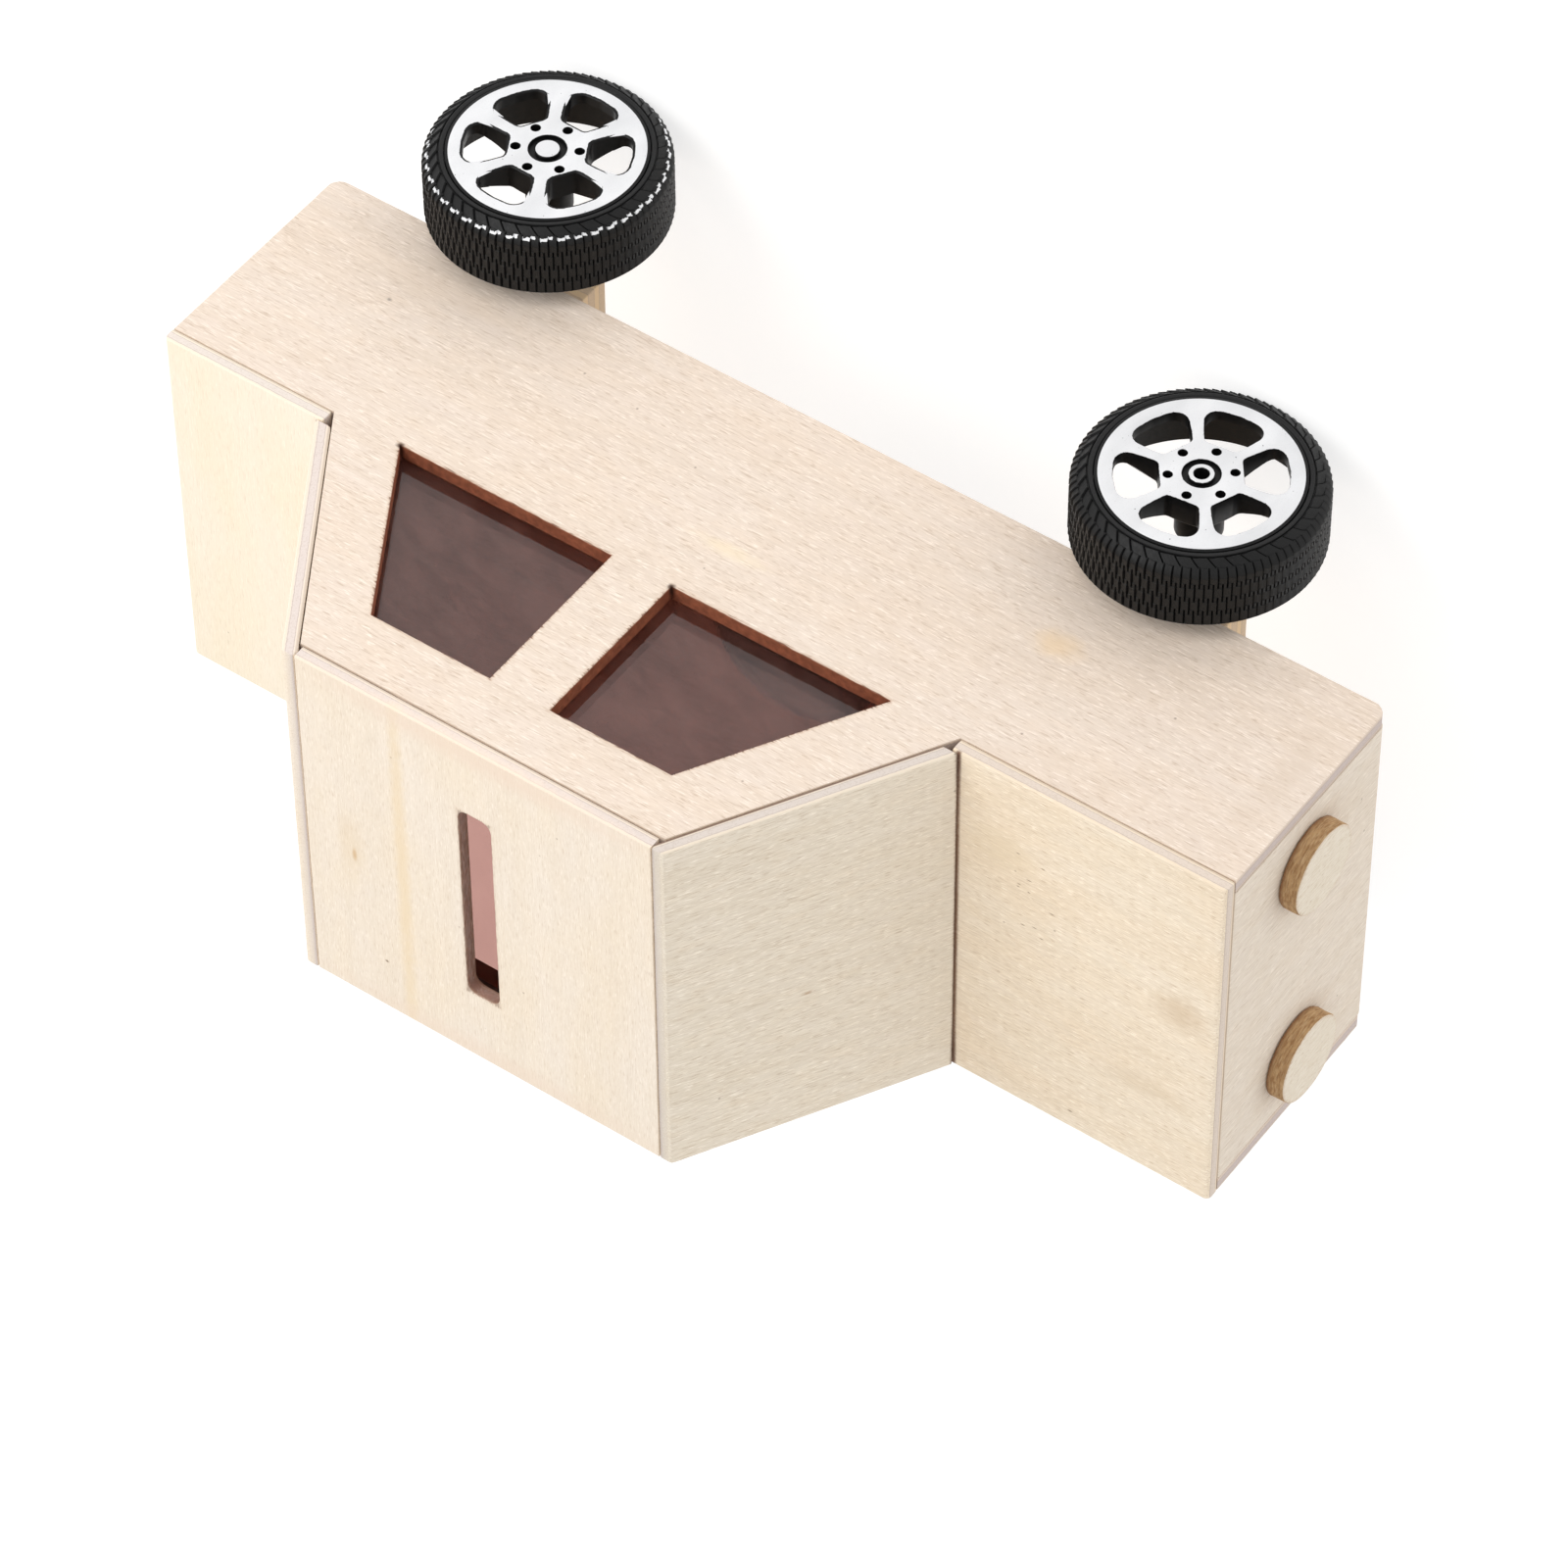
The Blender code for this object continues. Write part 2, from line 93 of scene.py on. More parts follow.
LUG_CIRCLE, LUG_RADIUS = 3.86 * MM, 0.56 * MM
TYRE_FACE = 13.3 * MM
TYRE_WALL = 0.75 * MM
LUG_END, SHOULDER_BREAK = 14.4 * MM, 0.8 * MM
TREAD_START = 1.8 * MM
TREAD_ROWS = [SHOULDER_BREAK, 3.0 * MM, 5.2 * MM, 7.3 * MM]
ROW_OVERLAP = 0.35 * MM
SIPES = 88
SHOULDER_GROOVES = 44
SHOULDER_SLANT = radians(4.5)
GROOVE_HALF = 0.12 * MM
GROOVE_DEPTH = 0.38 * MM
LUG_TILT = 0.24 * MM
RIB_TILT = 0.22 * MM
WALL_SHARE = 0.1  # how far a groove's wall lies along a tilted rib or lug, in columns

# The studio, in metres and degrees
FLOOR_HALF = 3
FLOOR_GREY, FLOOR_GLOW = 0.45, 0.72
SKY_COLOUR, SKY_STRENGTH = (1.0, 0.995, 0.985, 1.0), 0.82
KEY_PLACE, KEY_AIM = Vector((-0.26, 0.40, 0.36)), Vector((0, 0, 0.05))
KEY_SIZE, KEY_POWER = 0.3, 1.15
CAMERA_PLACE = (0.34396, 0.64620, 0.51516)
CAMERA_TURN = (-48.8023, 35.4360, -0.3969)
CAMERA_LENS, SENSOR_WIDTH = 169.43, 36


# ---- outlines

def turned_left(vector):
    return Vector((-vector.y, vector.x))


def signed_area(loop):
    return sum(p.cross(q) for p, q in zip(loop, loop[1:] + loop[:1])) / 2


def outlines(node, axis):
    """The outlines of the flat face at a frame node's high end of an axis, the largest first.

    The first runs anticlockwise and its holes clockwise, so the material lies on
    the left of each.
    """
    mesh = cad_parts[node].data
    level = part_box(node)[1][axis]
    across = [k for k in range(3) if k != axis]
    places, onward = {}, {}
    for face in mesh.polygons:
        corners = [mesh.vertices[index].co for index in face.vertices]
        if any(abs(corner[axis] - level) > 0.001 * MM for corner in corners):
            continue
        keys = [tuple(round(corner[k] / (0.001 * MM)) for k in across) for corner in corners]
        for key, corner in zip(keys, corners):
            places[key] = Vector([corner[k] for k in across])
        for start, end in zip(keys, keys[1:] + keys[:1]):
            if (end, start) in onward:
                del onward[(end, start)]
            else:
                onward[(start, end)] = True
    following = {start: end for start, end in onward}
    loops = []
    while following:
        start, here = following.popitem()
        keys = [start]
        while here != start:
            keys.append(here)
            here = following.pop(here)
        loops.append(without_straight_points([places[key] for key in keys]))
    loops.sort(key=lambda loop: -abs(signed_area(loop)))
    return [loop if (signed_area(loop) > 0) == (number == 0) else loop[::-1]
            for number, loop in enumerate(loops)]


def without_straight_points(loop):
    kept = []
    for index, point in enumerate(loop):
        back, ahead = loop[index - 1] - point, loop[(index + 1) % len(loop)] - point
        if back.angle(ahead) < radians(179):
            kept.append(point)
    return kept


def inset(loop, distances):
    """The loop with each point moved towards the material by its distance."""
    moved = []
    for index, point in enumerate(loop):
        before = turned_left((point - loop[index - 1]).normalized())
        after = turned_left((loop[(index + 1) % len(loop)] - point).normalized())
        middle = (before + after).normalized()
        moved.append(point + middle * (distances[index] / max(middle.dot(before), 0.4)))
    return moved


def divided(loop, step):
    points = []
    for start, end in zip(loop, loop[1:] + loop[:1]):
        count = max(1, round((end - start).length / step))
        points += [start.lerp(end, k / count) for k in range(count)]
    return points


def circle(radius, count, centre=(0, 0), clockwise=False):
    turn = -1 if clockwise else 1
    angles = [2 * pi * k / count for k in range(count)]
    return [Vector((centre[0] + radius * cos(angle), centre[1] + turn * radius * sin(angle)))
            for angle in angles]


def rounded(points, radii, arc_steps=6):
    """An anticlockwise outline with its corners turned into arcs."""
    outline = []
    for index, (point, radius) in enumerate(zip(points, radii)):
        corner = Vector(point)
        back = (Vector(points[index - 1]) - corner).normalized()
        ahead = (Vector(points[(index + 1) % len(points)]) - corner).normalized()
        if radius == 0:
            outline.append(corner)
            continue
        half = back.angle(ahead) / 2
        centre = corner + (back + ahead).normalized() * (radius / sin(half))
        start = corner + back * (radius * cos(half) / sin(half)) - centre
        end = corner + ahead * (radius * cos(half) / sin(half)) - centre
        for step in range(arc_steps + 1):
            share = step / arc_steps
            outline.append(centre + start.slerp(end, share).normalized() * radius)
    return outline


# ---- meshes

def unevenness(place, coarse=0.9, fine=5.0):
    """A repeatable uneven value of about -1 to 1 for a point in space."""
    spot = Vector(place) / MM
    return 0.7 * noise.noise(spot * coarse) + 0.3 * noise.noise(spot * fine)


def finished(builder, name, sharp=20):
    bmesh.ops.recalc_face_normals(builder, faces=builder.faces)
    mesh = bpy.data.meshes.new(name)
    builder.to_mesh(mesh)
    builder.free()
    mesh.shade_smooth()
    mesh.set_sharp_from_angle(angle=radians(sharp))
    made = bpy.data.objects.new(name, mesh)
    bpy.context.scene.collection.objects.link(made)
    return made


def joined_rings(builder, rings, closed=False):
    """Quads between neighbouring rings of vertices, each ring closed on itself."""
    pairs = list(zip(rings, rings[1:]))
    if closed:
        pairs.append((rings[-1], rings[0]))
    for near, far in pairs:
        for index in range(len(near)):
            after = (index + 1) % len(near)
            builder.faces.new((near[index], near[after], far[after], far[index]))


def ring_edges(builder, ring):
    return [builder.edges.get((a, b)) for a, b in zip(ring, ring[1:] + ring[:1])]


def plate(name, loops, levels, to_space, wobble=0.0, step=1.0 * MM, into=None, shares=None):
    """A plate with holes: levels are (depth, inset) from its front face to its back.

    shares, where given, multiply the inset of each loop.
    """
    builder = into or bmesh.new()
    ends = ([], [])
    for loop, share in zip(loops, shares or [1] * len(loops)):
        loop = divided(loop, step)
        rings = []
        for depth, shrink in levels:
            distances = [share * shrink + wobble * (1 + unevenness(to_space(p.x, p.y, depth))) for p in loop]
            ring = [builder.verts.new(to_space(p.x, p.y, depth)) for p in inset(loop, distances)]
            rings.append(ring)
        joined_rings(builder, rings)
        ends[0].extend(ring_edges(builder, rings[0]))
        ends[1].extend(ring_edges(builder, rings[-1]))
    for edges in ends:
        bmesh.ops.triangle_fill(builder, edges=edges, use_beauty=True, use_dissolve=False)
    if into is None:
        return finished(builder, name)
    return None


def eased_levels(low, high, edge=EASED_EDGE, step=None):
    """Levels of a plate whose front and back edges are eased."""
    share = 0.3
    levels = [(low, edge), (low + share * edge, share * edge), (low + edge, 0)]
    if step:
        count = int((high - low) / step)
        levels += [(low + (high - low) * k / count, 0) for k in range(1, count)]
    return levels + [(high - edge, 0), (high - share * edge, share * edge), (high, edge)]


def eased_section(loop, edge, guard):
    """A section with its sharp corners eased, as (point, share of the wobble)."""
    result = []
    for index, corner in enumerate(loop):
        back, ahead = loop[index - 1] - corner, loop[(index + 1) % len(loop)] - corner
        if back.angle(ahead) > SHARP_CORNER:
            result.append((corner, 0.0))
            continue
        back, ahead = back.normalized(), ahead.normalized()
        result += [(corner + back * guard, 0.0), (corner + back * edge, 1.0),
                   (corner + (back + ahead) * (0.29 * edge), 1.0),
                   (corner + ahead * edge, 1.0), (corner + ahead * guard, 0.0)]
    return result


def bar(name, loop, low, high, wobble=WOBBLE):
    """A board that runs along Y with the same section from end to end."""
    section = eased_section(loop, EASED_EDGE, EDGE_GUARD)
    points = [point for point, _ in section]
    builder = bmesh.new()
    rings = []
    for y, shrink in eased_levels(low, high, step=BOARD_STEP):
        distances = [shrink + share * wobble * (1 + unevenness((p.x, y, p.y))) for p, share in section]
        rings.append([builder.verts.new((p.x, y, p.y)) for p in inset(points, distances)])
    joined_rings(builder, rings)
    for ring in (rings[0], rings[-1]):
        bmesh.ops.triangle_fill(builder, edges=ring_edges(builder, ring), use_beauty=True, use_dissolve=False)
    return finished(builder, name)


def turned(builder, profile, to_space, count, closed=True):
    """A (radius, depth) profile turned round a wheel's axis."""
    rings = []
    for radius, depth in profile:
        rings.append([builder.verts.new(to_space(p.x, p.y, depth)) for p in circle(radius, count)])
    joined_rings(builder, rings, closed)
    return rings


# ---- node trees

class Graph:
    """A material's node tree, written with short calls. Numbers and sockets mix freely."""

    def __init__(self, name):
        self.material = bpy.data.materials.new(name)
        self.material.use_nodes = True
        self.tree = self.material.node_tree
        self.shader = self.tree.nodes["Principled BSDF"]
        coordinates = self.node("ShaderNodeTexCoord")
        self.normal = coordinates.outputs["Normal"]
        self.place = self.vector("SCALE", coordinates.outputs["Object"], scale=1 / MM)

    def node(self, kind, **settings):
        made = self.tree.nodes.new(kind)
        for key, value in settings.items():
            setattr(made, key, value)
        return made

    def put(self, socket, value):
        if isinstance(value, bpy.types.NodeSocket):
            self.tree.links.new(value, socket)
        elif hasattr(socket.default_value, "__len__") and len(socket.default_value) == 4 and len(value) == 3:
            socket.default_value = (*value, 1.0)
        else:
            socket.default_value = value

    def surface(self, **inputs):
        for name, value in inputs.items():
            self.put(self.shader.inputs[name.replace("_", " ")], value)
        return self.material

    def math(self, operation, a, b=0.0):
        made = self.node("ShaderNodeMath", operation=operation)
        self.put(made.inputs[0], a)
        self.put(made.inputs[1], b)
        return made.outputs[0]

    def roughened(self, value, noise, amount):
        """The value moved up or down by noise, by at most half of the amount."""
        return self.math("ADD", value, self.math("MULTIPLY", self.math("SUBTRACT", noise, 0.5), amount))

    def vector(self, operation, a, b=None, scale=None):
        made = self.node("ShaderNodeVectorMath", operation=operation)
        self.put(made.inputs[0], a)
        if b is not None:
            self.put(made.inputs[1], b)
        if scale is not None:
            self.put(made.inputs["Scale"], scale)
        return made.outputs["Value" if operation in ("DOT_PRODUCT", "LENGTH", "DISTANCE") else "Vector"]

    def along(self, direction):
        return self.vector("DOT_PRODUCT", self.place, direction)

    def stretched(self, axes, lengths):
        """Coordinates that change by one over each length (in mm) along each axis."""
        made = self.node("ShaderNodeCombineXYZ")
        for socket, axis, length in zip(made.inputs, axes, lengths):
            self.put(socket, self.along(Vector(axis) / length))
        return made.outputs[0]

    def noise(self, vector, scale=1.0, detail=2.0, roughness=0.5):
        made = self.node("ShaderNodeTexNoise")
        for name, value in (("Vector", vector), ("Scale", scale), ("Detail", detail),
                            ("Roughness", roughness)):
            self.put(made.inputs[name], value)
        return made.outputs["Fac"]

    def cells(self, vector, scale):
        """The distance to the nearest of many scattered points."""
        made = self.node("ShaderNodeTexVoronoi")
        self.put(made.inputs["Vector"], vector)
        self.put(made.inputs["Scale"], scale)
        return made.outputs["Distance"]

    def span(self, value, low, high, to_low=0.0, to_high=1.0, smooth=False):
        """The value's place between low and high, as a number between to_low and to_high."""
        made = self.node("ShaderNodeMapRange", clamp=True)
        made.interpolation_type = "SMOOTHSTEP" if smooth else "LINEAR"
        for socket, number in zip(made.inputs, (value, low, high, to_low, to_high)):
            self.put(socket, number)
        return made.outputs[0]

    def mix(self, factor, a, b):
        """A colour between a and b. Sockets 6 and 7 are the mix node's colours."""
        made = self.node("ShaderNodeMix", data_type="RGBA")
        for index, value in ((0, factor), (6, a), (7, b)):
            self.put(made.inputs[index], value)
        return made.outputs[2]

    def bump(self, height, distance, strength):
        made = self.node("ShaderNodeBump")
        self.put(made.inputs["Strength"], strength)
        self.put(made.inputs["Distance"], distance)
        self.put(made.inputs["Height"], height)
        return made.outputs[0]

    def spot(self, colour, centre, radii, tint, strength):
        """The colour with a soft stain of the tint round a place (metres, radii in mm)."""
        away = self.vector("SUBTRACT", self.place, Vector(centre) / MM)
        away = self.vector("MULTIPLY", away, [1 / radius for radius in radii])
        rough = self.noise(self.place, scale=1.6 / min(radii), detail=2)
        distance = self.roughened(self.vector("LENGTH", away), rough, 0.5)
        return self.mix(self.span(distance, 1.0, 0.1, 0.0, strength, smooth=True), colour, tint)

    def outside(self, loop, axes):
        """How far (mm) a place is outside a clockwise convex outline, negative inside."""
        furthest = None
        for start, end in zip(loop, loop[1:] + loop[:1]):
            outward = turned_left((end - start).normalized())
            direction = sum((axis * part for axis, part in zip(axes, outward)), Vector((0, 0, 0)))
            distance = self.math("SUBTRACT", self.along(direction), start.dot(outward) / MM)
            furthest = distance if furthest is None else self.math("MAXIMUM", furthest, distance)
        return furthest


def linear(red, green, blue):
    """A display colour (0 to 255) as the linear values that shaders use."""
    def one(value):
        value /= 255
        return value / 12.92 if value <= 0.04045 else ((value + 0.055) / 1.055) ** 2.4
    return (one(red), one(green), one(blue))


def scaled(colour, share):
    return tuple(part * share for part in colour)


# The brown of laser scorch, also used as painted contact shade at the lamps' foot.
BURN_AND_SHADE_BROWN = linear(88, 42, 24)
CHARRED = linear(150, 88, 62)
TOAST = linear(176, 132, 92)
GLUE_LINE = linear(168, 146, 128)


def wood(name, node, colour, grain, out, contrast=1.0, drift=(1.0, 0.97, 0.90), stains=(), cuts=(),
         cut_axes=(X, Z), burn=1.0, layers=1, joint=0.3):
    """Bare sanded plywood: fine fibres along the grain, ply layers on the cut edges.

    out is the board's thickness direction. stains are (centre, radii in mm, tint,
    strength), and cuts are outlines whose walls a laser has burnt. joint is how dark
    the line is where the board's edge meets the board it is glued to.
    """
    graph = Graph(name)
    axes = (grain, out.cross(grain), out)
    chance = random.Random(name)
    seed = Vector([chance.uniform(0, 60) for _ in range(3)])

    def grained(length, width, shift=0.0, **settings):
        """Noise drawn out to a length along the grain and a width across it, in mm."""
        place = graph.stretched(axes, (length, width, width))
        return graph.noise(graph.vector("ADD", place, seed + Vector((shift, 0, shift))), **settings)

    def tinted(red, green, blue):
        return (colour[0] * red, colour[1] * green, colour[2] * blue)

    clouds = grained(24.0, 9.0, detail=2)
    patches = grained(4.0, 2.2, 5.0, detail=2)
    streaks = grained(50.0, 1.8, 9.0, detail=3)
    fibres = grained(4.5, 0.24, detail=3, roughness=0.65)
    dashes = grained(1.5, 0.14, 3.0, detail=1)
    glints = grained(1.3, 0.14, 7.0, detail=1)

    face = graph.mix(graph.span(clouds, 0.35, 0.65, 0, 0.8), colour, tinted(*drift))
    for pattern, low, high, strength, tint in (
            (patches, 0.5, 0.72, 0.6, (1.0, 0.96, 0.91)), (patches, 0.5, 0.28, 0.6, (0.98, 0.97, 0.98)),
            (streaks, 0.40, 0.7, 0.5, (0.90, 0.87, 0.82)), (fibres, 0.45, 0.75, 0.6, (0.80, 0.77, 0.73)),
            (fibres, 0.45, 0.2, 0.6, (1.12, 1.12, 1.12)), (dashes, 0.57, 0.74, 0.8, (0.66, 0.58, 0.50)),
            (glints, 0.58, 0.74, 0.9, (1.25, 1.27, 1.30))):
        face = graph.mix(graph.span(pattern, low, high, 0, strength * contrast), face, tinted(*tint))
    specks = graph.cells(graph.vector("ADD", graph.place, seed), 0.16)
    face = graph.mix(graph.span(specks, 0.034, 0.016, 0, 0.6), face, tinted(0.35, 0.30, 0.27))

    corners = [vertex.co.dot(out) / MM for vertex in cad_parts[node].data.vertices]
    depth = graph.math("MULTIPLY", graph.span(graph.along(out), min(corners), max(corners)), layers)
    ragged = graph.noise(graph.place, scale=1.3, detail=3)
    layer = graph.math("FRACT", graph.roughened(depth, ragged, 0.10))
    middle = graph.math("ABSOLUTE", graph.math("SUBTRACT", layer, 0.5))
    grit = graph.noise(graph.place, scale=5.0, detail=3, roughness=0.7)
    core = graph.mix(graph.span(grit, 0.5, 0.75, 0, 0.7), tinted(0.76, 0.75, 0.81), tinted(0.56, 0.52, 0.53))
    edge = graph.mix(graph.span(middle, 0.34, 0.28), tinted(0.88, 0.85, 0.82), core)
    line = graph.math("ABSOLUTE", graph.math("SUBTRACT", middle, 0.25))
    edge = graph.mix(graph.span(line, 0.03, 0.01, 0, 0.45), edge, GLUE_LINE)
    edge = graph.mix(graph.span(depth, 0.16, 0.06, 0, joint), edge, BURN_AND_SHADE_BROWN)
    facing = graph.math("ABSOLUTE", graph.vector("DOT_PRODUCT", graph.normal, out))
    on_edge = graph.span(facing, 0.6, 0.35)
    result = graph.mix(on_edge, face, edge)

    for loop in cuts:
        away = graph.outside(loop, cut_axes)
        near = graph.roughened(away, dashes, 1.3)
        result = graph.mix(graph.span(near, 0.45, 0.0, 0, 0.5 * burn), result, TOAST)
        result = graph.mix(graph.span(near, 0.13, -0.08, 0, 0.8 * burn), result, BURN_AND_SHADE_BROWN)
        wall = graph.math("MULTIPLY", on_edge, graph.span(away, 0.4, 0.25))
        char = graph.mix(graph.span(ragged, 0.3, 0.7), scaled(CHARRED, 1.2), scaled(CHARRED, 0.7))
        result = graph.mix(graph.math("MULTIPLY", wall, burn), result, char)
    for centre, radii, tint, strength in stains:
        result = graph.spot(result, centre, radii, tint, strength)

    height = graph.math("ADD", graph.math("MULTIPLY", fibres, 0.6), graph.math("MULTIPLY", dashes, -0.5))
    rough = graph.span(fibres, 0.3, 0.7, 0.62, 0.78)
    return graph.surface(Base_Color=result, Roughness=rough, Normal=graph.bump(height, 0.05 * MM, 0.8),
                         Specular_IOR_Level=0.3)


def tinted_acrylic(name, clear):
    """Acrylic sheet with dust, faint scratches and a haze of handling. clear is its tint: the acrylic's own
    on the left pane, darkened by painted shade on the right pane.
    """
    graph = Graph(name)
    near = graph.cells(graph.place, 1.6)
    size = graph.span(graph.noise(graph.place, scale=0.5), 0.35, 0.7, 0.03, 0.13)
    dust = graph.math("LESS_THAN", near, size)
    smears = graph.noise(graph.stretched((X + Z * 0.4, Y, Z - X * 0.4), (9.0, 3.0, 3.4)),
                         detail=5, roughness=0.65)
    haze = graph.span(smears, 0.4, 0.75, 0.02, 0.08)
    cover = graph.math("MAXIMUM", graph.math("MULTIPLY", dust, 0.28), haze)
    tint = graph.mix(graph.span(cover, 0.05, 0.25), clear, (0.55, 0.27, 0.22))
    scratches = graph.noise(graph.stretched((X * 0.6 + Z, Y, Z * 0.6 - X), (14.0, 1.0, 0.12)), detail=1)
    return graph.surface(Base_Color=tint, Transmission_Weight=graph.math("SUBTRACT", 1.0, cover),
                         Roughness=graph.span(smears, 0.4, 0.8, 0.01, 0.12), IOR=1.49,
                         Normal=graph.bump(scratches, 0.004 * MM, 0.3))


def wheel_distance(graph, centre):
    """Radius and depth (mm) of a place in a wheel, seen from the wheel's outer face."""
    away = graph.vector("SUBTRACT", graph.place, Vector((centre.x, 0, centre.z)) / MM)
    radius = graph.vector("LENGTH", graph.vector("MULTIPLY", away, (1, 0, 1)))
    width = graph.math("ABSOLUTE", graph.along(Y))
    depth = graph.math("SUBTRACT", abs(centre.y) / MM, width)
    return away, radius, depth


def black_plastic(graph, gloss_low, gloss_high):
    """Moulded black plastic with tiny pale specks of dust: colour, roughness and bump."""
    grain = graph.noise(graph.place, scale=2.2, detail=4)
    fine = graph.noise(graph.place, scale=9.0, detail=2)
    dust = graph.span(graph.cells(graph.place, 1.3), 0.05, 0.02, 0, 0.55)
    colour = graph.mix(graph.span(grain, 0.3, 0.7), (0.0036, 0.0037, 0.0040), (0.0072, 0.0072, 0.0075))
    colour = graph.mix(dust, colour, (0.10, 0.10, 0.10))
    return colour, graph.span(grain, 0.3, 0.7, gloss_low, gloss_high), fine


def silvered(name, centre, reach):
    """Black plastic with silver foil on its front face, down to a ragged depth of up to reach (mm)."""
    graph = Graph(name)
    black, black_rough, fine = black_plastic(graph, 0.30, 0.45)
    _, radius, depth = wheel_distance(graph, centre)
    patchy = graph.noise(graph.place, scale=2.4, detail=4, roughness=0.7)
    stamped = graph.math("LESS_THAN", depth, graph.span(patchy, 0.3, 0.7, reach, 0.2 * reach))
    inside = graph.math("LESS_THAN", radius, SILVER_RADIUS / MM + 0.02)
    nick_size = graph.span(patchy, 0.4, 0.7, 0.03, 0.09)
    unnicked = graph.math("GREATER_THAN", graph.cells(graph.place, 1.0), nick_size)
    silver = graph.math("MULTIPLY", graph.math("MULTIPLY", stamped, inside), unnicked)
    sheen = graph.noise(graph.stretched((X, Y, Z), (4.0, 4.0, 8.0)), detail=3)
    foil = graph.mix(graph.span(sheen, 0.3, 0.7), (0.80, 0.805, 0.82), (0.68, 0.685, 0.70))
    scuffs = graph.noise(graph.place, scale=6.0, detail=4, roughness=0.7)
    foil = graph.mix(graph.span(scuffs, 0.55, 0.8, 0, 0.6), foil, (0.45, 0.45, 0.46))
    colour = graph.mix(silver, black, foil)
    rough = graph.mix(silver, black_rough, (0.42, 0.42, 0.42))
    return graph.surface(Base_Color=colour, Roughness=rough, Metallic=graph.math("MULTIPLY", silver, 0.3),
                         Specular_IOR_Level=graph.span(silver, 0, 1, 0.18, 0.5),
                         Normal=graph.bump(fine, 0.01 * MM, 0.4))


def tyre_material(name, centre, painted=None):
    """Matte black tyre. painted is the angle round which foil caught on the lugs' outer ends."""
    graph = Graph(name)
    colour, rough, fine = black_plastic(graph, 0.42, 0.60)
    metal = 0.0
    if painted is not None:
        away, radius, depth = wheel_distance(graph, centre)
        height, length = graph.vector("DOT_PRODUCT", away, Z), graph.vector("DOT_PRODUCT", away, X)
        turn = graph.math("ARCTAN2", height, length)
        lug = graph.math("FRACT", graph.math("MULTIPLY", turn, SHOULDER_GROOVES / (2 * pi)))
        ragged = graph.noise(graph.place, scale=2.2, detail=3)
        thick = graph.span(ragged, 0.3, 0.7, 0.05, 0.2)
        rise = graph.math("MULTIPLY", graph.math("SUBTRACT", lug, 0.5), 0.3)
        ridge = graph.math("SUBTRACT", graph.math("SUBTRACT", depth, SHOULDER_BREAK / MM + 0.15), rise)
        on_ridge = graph.math("LESS_THAN", graph.math("ABSOLUTE", ridge), thick)
        dash = graph.math("GREATER_THAN", graph.math("ADD", lug, graph.math("MULTIPLY", ragged, 0.3)), 0.42)
        outer = graph.math("GREATER_THAN", radius, LUG_END / MM - 0.5)
        toward = graph.vector("DOT_PRODUCT", graph.vector("NORMALIZE", away), (cos(painted), 0, sin(painted)))
        toward = graph.math("ADD", toward, graph.math("MULTIPLY", ragged, 0.3))
        around = graph.math("GREATER_THAN", toward, 0.05)
        dashed = graph.math("MULTIPLY", on_ridge, dash)
        metal = graph.math("MULTIPLY", dashed, graph.math("MULTIPLY", around, outer))
        colour = graph.mix(metal, colour, (0.80, 0.81, 0.83))
    return graph.surface(Base_Color=colour, Roughness=rough, Metallic=graph.math("MULTIPLY", metal, 0.3),
                         Specular_IOR_Level=0.28, Normal=graph.bump(fine, 0.02 * MM, 0.6))


def rubber(name):
    graph = Graph(name)
    grain = graph.noise(graph.place, scale=3.0, detail=4)
    dust = graph.span(graph.cells(graph.place, 0.8), 0.07, 0.03, 0, 0.4)
    colour = graph.mix(dust, (0.013, 0.015, 0.019), (0.12, 0.12, 0.12))
    return graph.surface(Base_Color=colour, Roughness=graph.span(grain, 0.3, 0.7, 0.38, 0.55),
                         Normal=graph.bump(grain, 0.02 * MM, 0.4))


def steel(name):
    graph = Graph(name)
    drawn = graph.noise(graph.stretched((X, Y, Z), (0.08, 6.0, 0.08)), detail=2)
    colour = graph.mix(graph.span(drawn, 0.3, 0.7), (0.58, 0.58, 0.60), (0.42, 0.42, 0.43))
    return graph.surface(Base_Color=colour, Metallic=1.0, Roughness=graph.span(drawn, 0.3, 0.7, 0.26, 0.42))


# ---- the body

def panel_box():
    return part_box("side_panel_left")


def grown(loop):
    """An outline that reaches a little into the gaps round it."""
    return inset(loop, [-JOINT_CLOSING] * len(loop))


def fitted(loop, top=None):
    """An outline grown to close its joints, but kept inside the car's outer skin."""
    low, high = panel_box()
    ceiling = high.z if top is None else top
    return [Vector((min(max(p.x, low.x), high.x), min(max(p.y, low.z), ceiling))) for p in grown(loop)]


def stands_for(piece, node, body, material):
    """The piece takes the place of a frame node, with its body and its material."""
    piece.data.materials.append(material)
    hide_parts(node)
    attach(piece, body)


def at(x, y, z):
    """A place given in mm from the left panel's rear lower corner line, y from the middle."""
    low, _ = panel_box()
    return Vector((low.x + x * MM, y * MM, low.z + z * MM))


CREAM = linear(251, 238, 222)
PEACH = linear(229, 214, 200)
HONEY = linear(250, 235, 213)
PALE = linear(255, 244, 226)
GREIGE = linear(240, 229, 212)
FRONT_TONE = linear(229, 217, 202)
BLOCK_TONE = linear(232, 208, 172)
GREY_MARK = linear(150, 140, 130)
TICK = linear(120, 92, 66)


